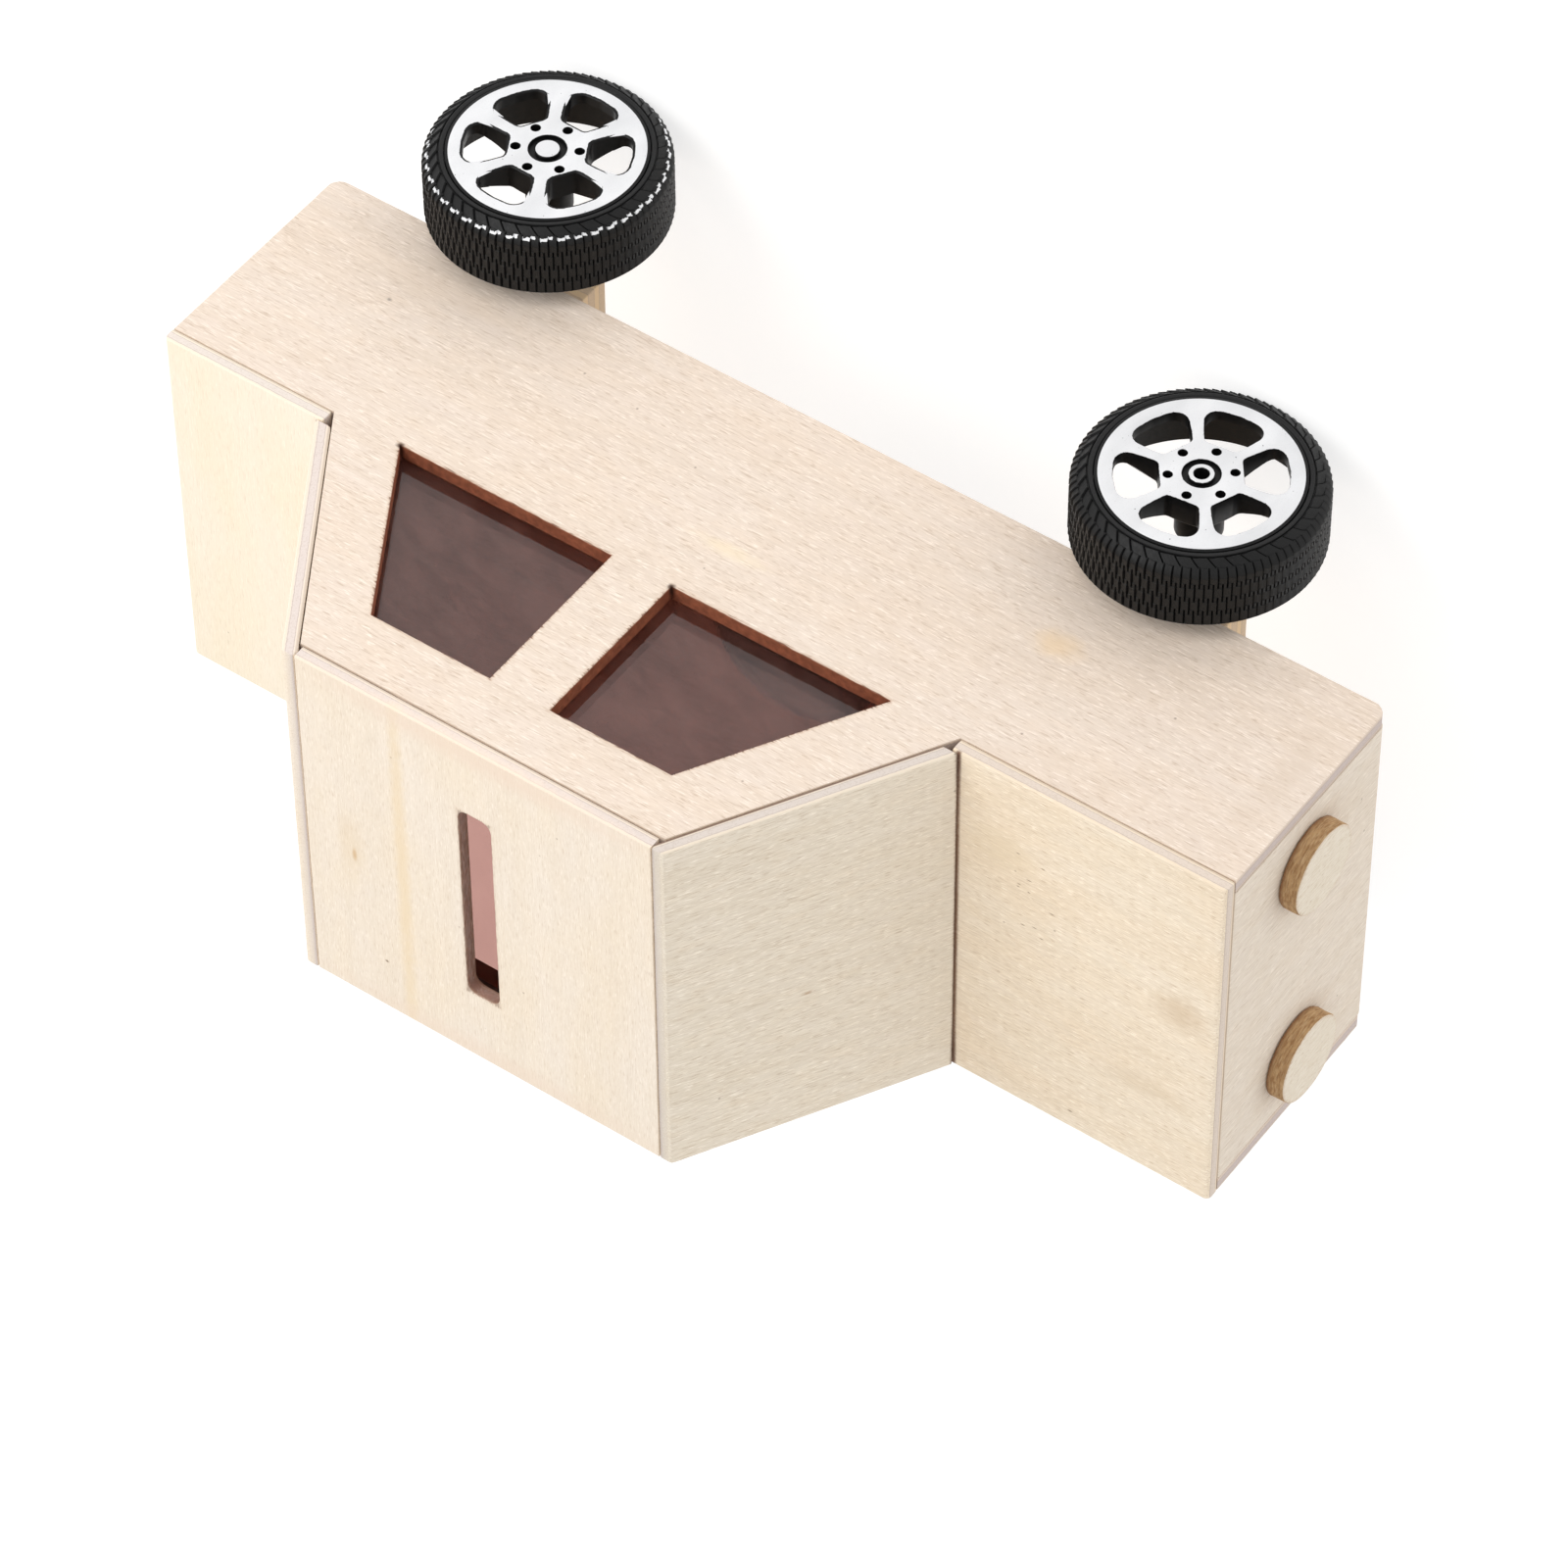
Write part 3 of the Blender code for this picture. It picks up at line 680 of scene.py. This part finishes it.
def side_panels():
    for side, sign in SIDES.items():
        node = f"side_panel_{side}"
        loops = outlines(node, 1)
        low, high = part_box(node)
        outer = high.y if sign > 0 else low.y
        depth = high.y - low.y + JOINT_CLOSING
        panel = plate(f"panel_{side}", [fitted(loops[0])] + loops[1:], eased_levels(0, depth),
                      lambda u, v, w: Vector((u, outer - sign * w, v)), WOBBLE, step=PANEL_STEP)
        y = sign * PANEL_SIDE
        stains = [(at(114, y, 13.5), (4.5, 3, 3.2), linear(232, 202, 160), 0.55),
                  (at(75, y, 23), (7, 3, 1.6), linear(240, 222, 190), 0.5),
                  (at(22, y, 8), (26, 3, 2.5), linear(236, 216, 196), 0.35),
                  (at(146, y, 16), (3, 3, 16), linear(214, 196, 178), 0.45),
                  (at(18, y, 13), (0.5, 3, 0.35), GREY_MARK, 0.8),
                  (at(113.2, sign * 26.5, HOOD_TOP), (1.6, 2.6, 0.5), scaled(BURN_AND_SHADE_BROWN, 0.5), 0.95)]
        for loop in loops[1:]:
            corner = min(loop, key=lambda point: point.x + point.y)
            stains.append(((corner.x, outer, corner.y), (0.7, 4, 0.7), scaled(CHARRED, 0.15), 0.95))
        material = wood(f"panel_{side}_wood", node, PEACH, X, Y, contrast=0.8, drift=(0.985, 0.955, 0.915),
                        stains=stains, cuts=loops[1:])
        stands_for(panel, node, BODY, material)


def long_boards():
    """The boards that run across the car, each with its own tone and marks."""
    slope_out = slope_normal("windshield_board")
    rear_out = slope_normal("rear_window_board")
    down_slope = Y.cross(slope_out)
    looks = {
        "trunk_board": dict(colour=PALE, grain=Y, out=Z, contrast=0.3),
        "hood_board": dict(colour=HONEY, grain=X, out=Z, contrast=0.95, drift=(0.97, 0.915, 0.85),
                           stains=hood_marks()),
        "windshield_board": dict(colour=GREIGE, grain=down_slope, out=slope_out, contrast=0.9,
                                 drift=(0.985, 0.975, 0.95), stains=windshield_marks(down_slope), joint=0.9),
        "rear_window_board": dict(colour=CREAM, grain=Y.cross(rear_out), out=rear_out, contrast=0.6),
        "front_board": dict(colour=FRONT_TONE, grain=Z, out=X, contrast=0.7, drift=(0.975, 0.955, 0.93)),
        "rear_board": dict(colour=FRONT_TONE, grain=Z, out=X, contrast=0.7, drift=(0.975, 0.955, 0.93)),
    }
    for node, look in looks.items():
        low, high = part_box(node)
        between = node in ("front_board", "rear_board")
        reach = JOINT_CLOSING if between else 0.0
        top = None if between else high.z
        loop = fitted(outlines(node, 1)[0], top)
        board = bar(node.replace("_board", "_plywood"), loop, low.y - reach, high.y + reach)
        stands_for(board, node, BODY, wood(f"{node}_wood", node, **look))


def slope_normal(node):
    """The outward direction of a sloped board's large face, read from its mesh."""
    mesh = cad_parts[node].data
    sloped = [face for face in mesh.polygons
              if abs(face.normal.y) < 0.1 and 0.05 < face.normal.z < 0.95]
    return max(sloped, key=lambda face: face.area).normal.copy()


def foot_of_windshield():
    """The scorched seam where the windshield meets the hood, darkest at its ends."""
    seam = (at(WINDSHIELD_FOOT, 0, HOOD_TOP + 0.05), (0.5, 90, 0.5), linear(122, 80, 50), 0.9)
    ends = [(at(WINDSHIELD_FOOT, sign * 27, HOOD_TOP + 0.1), (0.6, 9, 0.6), BURN_AND_SHADE_BROWN, 0.6)
            for sign in SIDES.values()]
    return [seam, *ends]


def hood_marks():
    """Short dark fibres left in the hood's surface, and its darker blotches."""
    marks = [*foot_of_windshield(),
             (at(145, 3, HOOD_TOP), (5.0, 4.5, 2), linear(214, 188, 156), 0.5),
             (at(141, -13, HOOD_TOP), (9, 3, 2), linear(220, 198, 168), 0.35),
             (at(120, 15, HOOD_TOP), (7, 5, 2), linear(236, 216, 184), 0.5)]
    chance = random.Random(7)
    for _ in range(9):
        x, y = chance.uniform(122, 131), chance.uniform(2, 18)
        marks.append((at(x, y, HOOD_TOP), (chance.uniform(0.35, 0.6), 0.12, 2), TICK, 0.8))
    marks.append((at(130.6, -24.7, HOOD_TOP), (0.5, 0.2, 2), TICK, 0.8))
    marks.append((at(124, 10, HOOD_TOP), (0.3, 0.14, 2), TICK, 0.9))
    return marks


def windshield_marks(down):
    """A small knot and dark specks on the windshield."""
    head = at(WINDSHIELD_HEAD, 0, ROOF_TOP)

    def on(y, distance):
        return head + Y * (y * MM) + down * (distance * MM)

    knot = (on(-5.1, 17.8), (1.3, 0.5, 1.3), linear(168, 126, 78), 0.75)
    places = ((18, 6), (4, 9), (-13, 12), (-20, 22), (-3, 27), (9, 30), (13, 14))
    specks = [(on(y, distance), (0.28, 0.16, 0.28), GREY_MARK, 0.8) for y, distance in places]
    return [knot, *specks, *foot_of_windshield()]


def level_board(name, loops, bottom, top, step):
    """A flat board made from its outlines seen from above."""
    return plate(name, loops, eased_levels(0, top - bottom),
                 lambda u, v, w: Vector((u, v, top - w)), WOBBLE, step=step)


def roof():
    """The roof board with its coin slot, whose walls are scorched a little."""
    node = "roof_board"
    loops = outlines(node, 2)
    low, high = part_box(node)
    outline = [Vector((p.x, min(max(p.y, low.y), high.y))) for p in grown(loops[0])]
    board = level_board("roof_plywood", [outline] + loops[1:], low.z - JOINT_CLOSING, high.z, PANEL_STEP)
    stains = [(at(58, 0, ROOF_TOP), (1.6, 60, 2), linear(246, 222, 184), 0.6),
              (at(50.9, -2.4, ROOF_TOP), (0.5, 1.6, 2), linear(206, 160, 100), 0.75),
              (at(50.6, -1, ROOF_TOP), (3.0, 9.0, 2), linear(240, 216, 180), 0.35),
              (at(54.7, -19, ROOF_TOP), (0.4, 0.3, 2), TICK, 0.8),
              (at(69, 26.5, ROOF_TOP), (34, 3.5, 2), linear(246, 224, 204), 0.7),
              (at(69, -26.5, ROOF_TOP), (34, 3.0, 2), linear(246, 224, 204), 0.5)]
    material = wood("roof_wood", node, CREAM, Y, Z, contrast=0.55, stains=stains,
                    cuts=[without_rounding(loops[1])], cut_axes=(X, Y), burn=0.5)
    stands_for(board, node, BODY, material)


def without_rounding(loop):
    """The four corners of a rounded slot's box, clockwise."""
    xs, ys = [p.x for p in loop], [p.y for p in loop]
    return [Vector((min(xs), min(ys))), Vector((min(xs), max(ys))), Vector((max(xs), max(ys))),
            Vector((max(xs), min(ys)))]


def floor_board():
    node = "bottom_board"
    loops = outlines(node, 2)
    low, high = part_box(node)
    board = level_board("floor_plywood", [grown(loops[0])] + loops[1:], low.z, high.z, FLOOR_STEP)
    material = wood("floor_wood", node, PEACH, X, Z, contrast=0.9)
    stands_for(board, node, BODY, material)


def lamps():
    """Laser-cut discs whose rims show fibres, a brown scorch, and painted contact shade at their foot."""
    for side, sign in SIDES.items():
        node = f"headlight_{side}"
        low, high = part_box(node)
        centre = (low + high) / 2
        radius = (high.y - low.y) / 2
        thickness = high.x - low.x + 2 * JOINT_CLOSING
        disc = plate(f"lamp_{side}", [circle(radius, LAMP_SIDES)],
                     eased_levels(0, thickness, edge=LAMP_EDGE, step=0.35 * MM),
                     lambda u, v, w: Vector((high.x - w, centre.y + u, centre.z + v)),
                     LAMP_WOBBLE, step=0.5 * MM)
        stands_for(disc, node, BODY, lamp_wood(node, centre, radius, sign))


def lamp_wood(node, centre, radius, sign):
    """Coarse plywood with the grain on its face and threads round its rim, darkened at its foot by painted
    contact shade against the front board.
    """
    graph = Graph(f"{node}_wood")
    away = graph.vector("SUBTRACT", graph.place, centre / MM)
    distance = graph.vector("LENGTH", graph.vector("MULTIPLY", away, (0, 1, 1)))

    def grained(axes, lengths, detail):
        place = graph.vector("ADD", graph.stretched(axes, lengths), Vector((3, 11 * sign, 5)))
        return graph.noise(place, detail=detail)

    grain = grained((Z, Y, X), (2.4, 0.2, 0.6), 3)
    face = graph.mix(graph.span(grain, 0.35, 0.7, 0, 0.5), linear(234, 224, 208), linear(208, 190, 162))
    dashes = grained((Z, Y, X), (0.8, 0.12, 0.3), 1)
    face = graph.mix(graph.span(dashes, 0.58, 0.75, 0, 0.5), face, linear(168, 138, 100))
    layers = grained((X, Y, Z), (0.28, 1.1, 1.1), 3)
    threads = grained((X, Y, Z), (0.13, 1.3, 1.3), 2)
    rim = graph.mix(graph.span(layers, 0.38, 0.62), linear(196, 164, 120), linear(146, 112, 74))
    rim = graph.mix(graph.span(threads, 0.5, 0.7, 0, 0.6), rim, linear(222, 198, 158))
    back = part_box(node)[0].x / MM
    # Painted shade: the rim's back half millimetre, where the lamp sits against the front board, is darkened
    # in burnt brown as a contact shadow.
    foot = graph.span(graph.along(X), back + 0.5, back, 0, 0.75)
    rim = graph.mix(foot, rim, BURN_AND_SHADE_BROWN)
    edge = graph.span(graph.math("ABSOLUTE", graph.vector("DOT_PRODUCT", graph.normal, X)), 0.85, 0.5)
    colour = graph.mix(edge, face, rim)
    scorch = graph.roughened(distance, dashes, 0.9)
    colour = graph.mix(graph.span(scorch, radius / MM - 0.55, radius / MM, 0, 0.4), colour, TOAST)
    height = graph.math("ADD", threads, grain)
    return graph.surface(Base_Color=colour, Roughness=0.8, Normal=graph.bump(height, 0.08 * MM, 0.9),
                         Specular_IOR_Level=0.3)


def axle_blocks():
    """Glued-up blocks under the floor, layered from bottom to top."""
    for place in ("rear", "front"):
        node = f"axle_block_{place}"
        loops = outlines(node, 1)
        low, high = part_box(node)
        outline = [Vector((p.x, p.y + (2 * JOINT_CLOSING if p.y > high.z - 0.1 * MM else 0)))
                   for p in loops[0]]
        block = plate(f"block_{place}", [outline] + loops[1:],
                      eased_levels(0, high.y - low.y, 0.2 * MM, step=2 * MM),
                      lambda u, v, w: Vector((u, high.y - w, v)), WOBBLE, step=FLOOR_STEP)
        material = wood(f"{node}_wood", node, BLOCK_TONE, Y, Z, contrast=1.6, drift=(0.96, 0.88, 0.76),
                        layers=6)
        stands_for(block, node, BODY, material)


def stopper():
    """The rubber plug: a flange under the floor with a hollow foot, and a rounded, dished top."""
    node = "coin_stopper"
    low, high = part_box(node)
    centre = (low + high) / 2
    flange = (high.x - low.x) / 2
    top, base = high.z, low.z
    plug = PLUG_RADIUS
    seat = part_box("bottom_board")[0].z - STOPPER_GAP
    middle = 0.4 * MM
    hollow = [(middle, base + 0.5 * MM), (7 * MM, base + 0.5 * MM), (7.6 * MM, base)]
    rim_round = [(flange - 0.7 * MM, base), (flange - 0.2 * MM, base + 0.2 * MM),
                 (flange, base + 0.7 * MM), (flange, seat - 0.3 * MM), (flange - 0.3 * MM, seat)]
    shoulder = [(plug, seat), (plug, top - 1.4 * MM), (plug - 0.25 * MM, top - 0.6 * MM),
                (plug - 0.8 * MM, top - 0.1 * MM), (plug - 1.5 * MM, top)]
    dish = [(9 * MM, top), (8.6 * MM, top - 0.3 * MM), (middle, top - 0.3 * MM)]
    builder = bmesh.new()
    rings = turned(builder, hollow + rim_round + shoulder + dish,
                   lambda u, v, w: Vector((centre.x + u, centre.y + v, w)), 96, closed=False)
    for ring in (rings[0], rings[-1]):
        builder.faces.new(ring)
    piece = finished(builder, "stopper_plug", sharp=32)
    stands_for(piece, node, "stopper", rubber("stopper_rubber"))


def dressed(node, material):
    """A frame node that keeps its own mesh gets a material."""
    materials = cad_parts[node].data.materials
    materials.clear()
    materials.append(material)


def panes():
    dressed("window_pane_left", tinted_acrylic("brown_acrylic_left", (0.80, 0.43, 0.37)))
    # The right pane's tint is darker than the left's: painted shade, for the shadowed floor seen through it
    # by way of the coin slot.
    dressed("window_pane_right", tinted_acrylic("brown_acrylic_right_with_painted_shade", (0.55, 0.31, 0.27)))


# ---- the wheels

def wheel_space(centre, sign):
    """Turns (u, v, depth) in a wheel into space. Every wheel is the same part, turned round."""
    return lambda u, v, depth: Vector((centre.x + sign * u, centre.y - sign * depth, centre.z + v))


def spoke_window(turn, spoke):
    """One opening between two spokes, clockwise, centred on the turn. The spokes flare outwards."""
    def side(radius):
        share = (radius - WINDOW_INNER) / (WINDOW_OUTER - WINDOW_INNER)
        half_spoke = spoke[0] + (spoke[1] - spoke[0]) * share ** 2.5
        return pi / SPOKES - asin(half_spoke / radius)

    def at_angle(radius, angle):
        return (radius * cos(angle), radius * sin(angle))

    shares = (0.0, 0.35, 0.65)
    sides = [WINDOW_INNER + (WINDOW_OUTER - WINDOW_INNER) * share for share in shares]
    outer = side(WINDOW_OUTER)
    corners = [at_angle(radius, -side(radius)) for radius in sides]
    corners += [at_angle(WINDOW_OUTER, -outer * (1 - k / 2)) for k in range(5)]
    corners += [at_angle(radius, side(radius)) for radius in reversed(sides)]
    radii = [0.7 * MM, 0, 3 * MM, 1.5 * MM, 0, 0, 0, 1.5 * MM, 3 * MM, 0, 0.7 * MM]
    outline = rounded(corners, radii)
    cosine, sine = cos(turn), sin(turn)
    return [Vector((p.x * cosine - p.y * sine, p.x * sine + p.y * cosine)) for p in reversed(outline)]


def rim(name, centre, sign, turn, worn):
    """The silvered spoke plate and its hub, in one piece.

    A worn rim has wide bevels round its windows, and a cap over its axle hole.
    """
    space = wheel_space(centre, sign)

    def dished(u, v, depth):
        """The plate's back is thin behind the ring and thick at the hub."""
        share = (Vector((u, v)).length - WINDOW_INNER) / (WINDOW_OUTER - WINDOW_INNER)
        thickness = HUB_THICKNESS + share * (RING_THICKNESS - HUB_THICKNESS) if share < DISH_END else 1.0
        return space(u, v, depth * (thickness if depth > SPOKE_PLATE / 2 else 1.0))

    builder = bmesh.new()
    turns = [turn + 2 * pi * k / SPOKES for k in range(SPOKES)]
    windows = [spoke_window(angle, REAR_SPOKE if worn else FRONT_SPOKE) for angle in turns]
    bevel = WORN_BEVEL if worn else 1
    lugs = [circle(LUG_RADIUS, 20, (LUG_CIRCLE * cos(angle), LUG_CIRCLE * sin(angle)), clockwise=True)
            for angle in turns]
    levels = [(0, RIM_EDGE), (0.3 * RIM_EDGE, 0.3 * RIM_EDGE), (RIM_EDGE, 0),
              (SPOKE_PLATE - 0.1 * MM, 0), (SPOKE_PLATE, 0.1 * MM)]
    plate(name, [circle(LIP_RADIUS, 144), circle(HUB_GROOVE_OUTER, 48, clockwise=True)] + windows + lugs,
          levels, dished, RIM_WOBBLE, RIM_STEP, into=builder,
          shares=[1, 1] + [bevel] * SPOKES + [LUG_BEVEL] * SPOKES)
    hub = [(HUB_GROOVE_INNER - 0.12 * MM, 0), (HUB_GROOVE_INNER, 0.12 * MM),
           (HUB_GROOVE_INNER, HUB_GROOVE_DEPTH), (HUB_GROOVE_OUTER + 0.3 * MM, HUB_GROOVE_DEPTH),
           (HUB_BOSS, 1.2 * MM), (HUB_BOSS, HUB_LENGTH - 0.2 * MM),
           (HUB_BOSS - 0.2 * MM, HUB_LENGTH), (HUB_HOLE, HUB_LENGTH)]
    if worn:
        rings = turned(builder, hub, space, 48, closed=False)
        builder.faces.new(rings[0])
        builder.faces.new(rings[-1])
    else:
        turned(builder, hub + [(HUB_HOLE, 0.12 * MM), (HUB_HOLE + 0.1 * MM, 0)], space, 48)
    return finished(builder, name, sharp=28)


def tyre_rows():
    """The tyre's section round its wall, from the bead over the tread: (radius, depth, kind).

    Kind is smooth, lug, the parity of the sipes that cross a tread row, or both.
    """
    low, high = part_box("tyre_rear_left")
    crown, width = (high.z - low.z) / 2, high.y - low.y
    face, face_depth = TYRE_FACE, 0.04 * MM
    bead = LIP_RADIUS + 0.05 * MM
    section = [(bead, 2.4), (bead, 0.16), (bead + 0.1 * MM, 0.06), (bead + 0.25 * MM, 0.04),
               (face - 0.48 * MM, 0.02), (face - 0.36 * MM, 0.06), (face - 0.30 * MM, 0.28),
               (face - 0.20 * MM, 0.30), (face - 0.14 * MM, 0.14)]
    rows = [(radius, depth * MM, "smooth") for radius, depth in section]
    rows += [(face - 0.05 * MM, 0.06 * MM, "lug"), (face, face_depth, "lug")]
    for share in (0.3, 0.6, 0.82):
        rows.append((face + share * (LUG_END - face),
                     face_depth + share * (SHOULDER_BREAK - face_depth), "lug"))
    rows.append((LUG_END - 0.08 * MM, SHOULDER_BREAK - 0.06 * MM, 0))

    def tread(depth, kind):
        """A ring of the tread: a rounded slope from the lugs up to the crown."""
        share = min(1.0, (depth - SHOULDER_BREAK) / (TREAD_START - SHOULDER_BREAK))
        return (LUG_END + sin(share * pi / 2) * (crown - LUG_END), depth, kind)

    edges = TREAD_ROWS + [width - 0.06 * MM]
    for number, (start, end) in enumerate(zip(edges, edges[1:])):
        parity = number % 2
        first = start + ROW_OVERLAP if number else start
        last = end - ROW_OVERLAP if number < len(edges) - 2 else end
        if number == 0:
            rows += [tread(start + share * (TREAD_START - start), parity) for share in (0, 0.35, 0.7, 1)]
        else:
            rows.append(tread(first + 0.05 * MM, parity))
        rows += [tread((first + last) / 2, parity), tread(last - 0.05 * MM, parity)]
        if number < len(edges) - 2:
            rows += [tread(last, "both"), tread(end + ROW_OVERLAP, "both")]
    wall = crown - TYRE_WALL
    return rows + [(crown - 0.1 * MM, width, "smooth"), (wall, width, "smooth"), (wall, 2.5 * MM, "smooth"),
                   (wall - 0.1 * MM, 2.4 * MM, "smooth")]


def sunk(kind, column, place):
    """How far a grid point lies under the tyre's plain shape: inwards, and into its width.

    place is -1, 0 or 1 across a groove, with the groove's bottom at 0.
    """
    along = column + place * WALL_SHARE
    if kind == "lug":
        per_lug = 2 * SIPES // SHOULDER_GROOVES
        tilt = LUG_TILT * ((along % per_lug) / per_lug)
        cut = GROOVE_DEPTH if column % per_lug == 0 and place == 0 else 0.0
        return 0.7 * cut + 0.6 * tilt, 0.7 * cut + 0.8 * tilt
    if place == 0 and (kind == "both" or column % 2 == kind):
        return GROOVE_DEPTH, 0.0
    if kind == "both":
        return 0.5 * RIB_TILT, 0.0
    if kind == "smooth":
        return 0.0, 0.0
    return RIB_TILT * (((along - kind) % 2) / 2), 0.0


def tyre(name, centre, sign):
    """The tyre as one sheared grid: grooves are V cuts at evenly spaced columns."""
    space = wheel_space(centre, sign)
    builder = bmesh.new()
    columns = 2 * SIPES
    rings = []
    for radius, depth, kind in tyre_rows():
        lean = SHOULDER_SLANT * min(1.0, max(0.0, (LUG_END - radius) / (LUG_END - TYRE_FACE)))
        ring = []
        for column in range(columns):
            for place in (-1, 0, 1):
                angle = 2 * pi * column / columns + place * GROOVE_HALF / radius + lean
                inwards, across = sunk(kind, column, place)
                reach = radius - inwards
                ring.append(builder.verts.new(space(reach * cos(angle), reach * sin(angle), depth + across)))
        rings.append(ring)
    joined_rings(builder, rings, closed=True)
    return finished(builder, name, sharp=22)


def wheels():
    """Two sets of an axle and its wheels. The rear rims are worn, and foil caught on one rear tyre."""
    metal = steel("axle_steel_drawn")
    for place, turn in (("rear", REAR_TURN), ("front", FRONT_TURN)):
        body = f"{place}_axle_set"
        dressed(f"{place}_axle", metal)
        axle_low, axle_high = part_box(f"{place}_axle")
        middle = (axle_low + axle_high) / 2
        worn = place == "rear"
        for side, sign in SIDES.items():
            wheel = f"{place}_{side}"
            low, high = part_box(f"rim_{wheel}")
            centre = Vector((middle.x, high.y if sign > 0 else low.y, middle.z))
            made = rim(f"rim_{wheel}_silvered", centre, sign, sign * turn, worn)
            material = silvered(f"silvered_{wheel}", centre, reach=0.022 if worn else 0.09)
            stands_for(made, f"rim_{wheel}", body, material)
            made = tyre(f"tyre_{wheel}_treaded", centre, sign)
            painted = radians(50) if wheel == "rear_left" else None
            material = tyre_material(f"tyre_{wheel}_black", centre, painted)
            stands_for(made, f"tyre_{wheel}", body, material)


# ---- the studio

def studio_floor():
    mesh = bpy.data.meshes.new("studio_floor")
    half = FLOOR_HALF
    mesh.from_pydata([(-half, -half, 0), (half, -half, 0), (half, half, 0), (-half, half, 0)], [],
                     [(0, 1, 2, 3)])
    floor = bpy.data.objects.new("studio_floor", mesh)
    bpy.context.scene.collection.objects.link(floor)
    graph = Graph("studio_white")
    grey = (FLOOR_GREY, FLOOR_GREY, FLOOR_GREY)
    mesh.materials.append(graph.surface(Base_Color=grey, Roughness=0.9, Emission_Color=(1.0, 1.0, 1.0),
                                        Emission_Strength=FLOOR_GLOW, Specular_IOR_Level=0.0))


def lights():
    """An even white sky, and one soft lamp above the car, behind it and to its left."""
    world = bpy.data.worlds.new("studio_world")
    bpy.context.scene.world = world
    world.use_nodes = True
    background = world.node_tree.nodes["Background"]
    background.inputs["Color"].default_value = SKY_COLOUR
    background.inputs["Strength"].default_value = SKY_STRENGTH

    panel = bpy.data.lights.new("soft_key", "AREA")
    panel.energy = KEY_POWER
    panel.size = KEY_SIZE
    key = bpy.data.objects.new("soft_key", panel)
    key.location = KEY_PLACE
    key.rotation_euler = (KEY_PLACE - KEY_AIM).to_track_quat("Z", "Y").to_euler()
    bpy.context.scene.collection.objects.link(key)


def camera():
    """A long lens in front of the car, to its left and above it."""
    scene = bpy.context.scene
    lens = bpy.data.cameras.new("camera")
    lens.lens = CAMERA_LENS
    lens.sensor_width = SENSOR_WIDTH
    eye = bpy.data.objects.new("camera", lens)
    eye.location = CAMERA_PLACE
    eye.rotation_euler = [radians(angle) for angle in CAMERA_TURN]
    scene.collection.objects.link(eye)
    scene.camera = eye
    scene.view_settings.view_transform = "Standard"


side_panels()
long_boards()
roof()
floor_board()
lamps()
axle_blocks()
stopper()
panes()
wheels()
studio_floor()
lights()
camera()
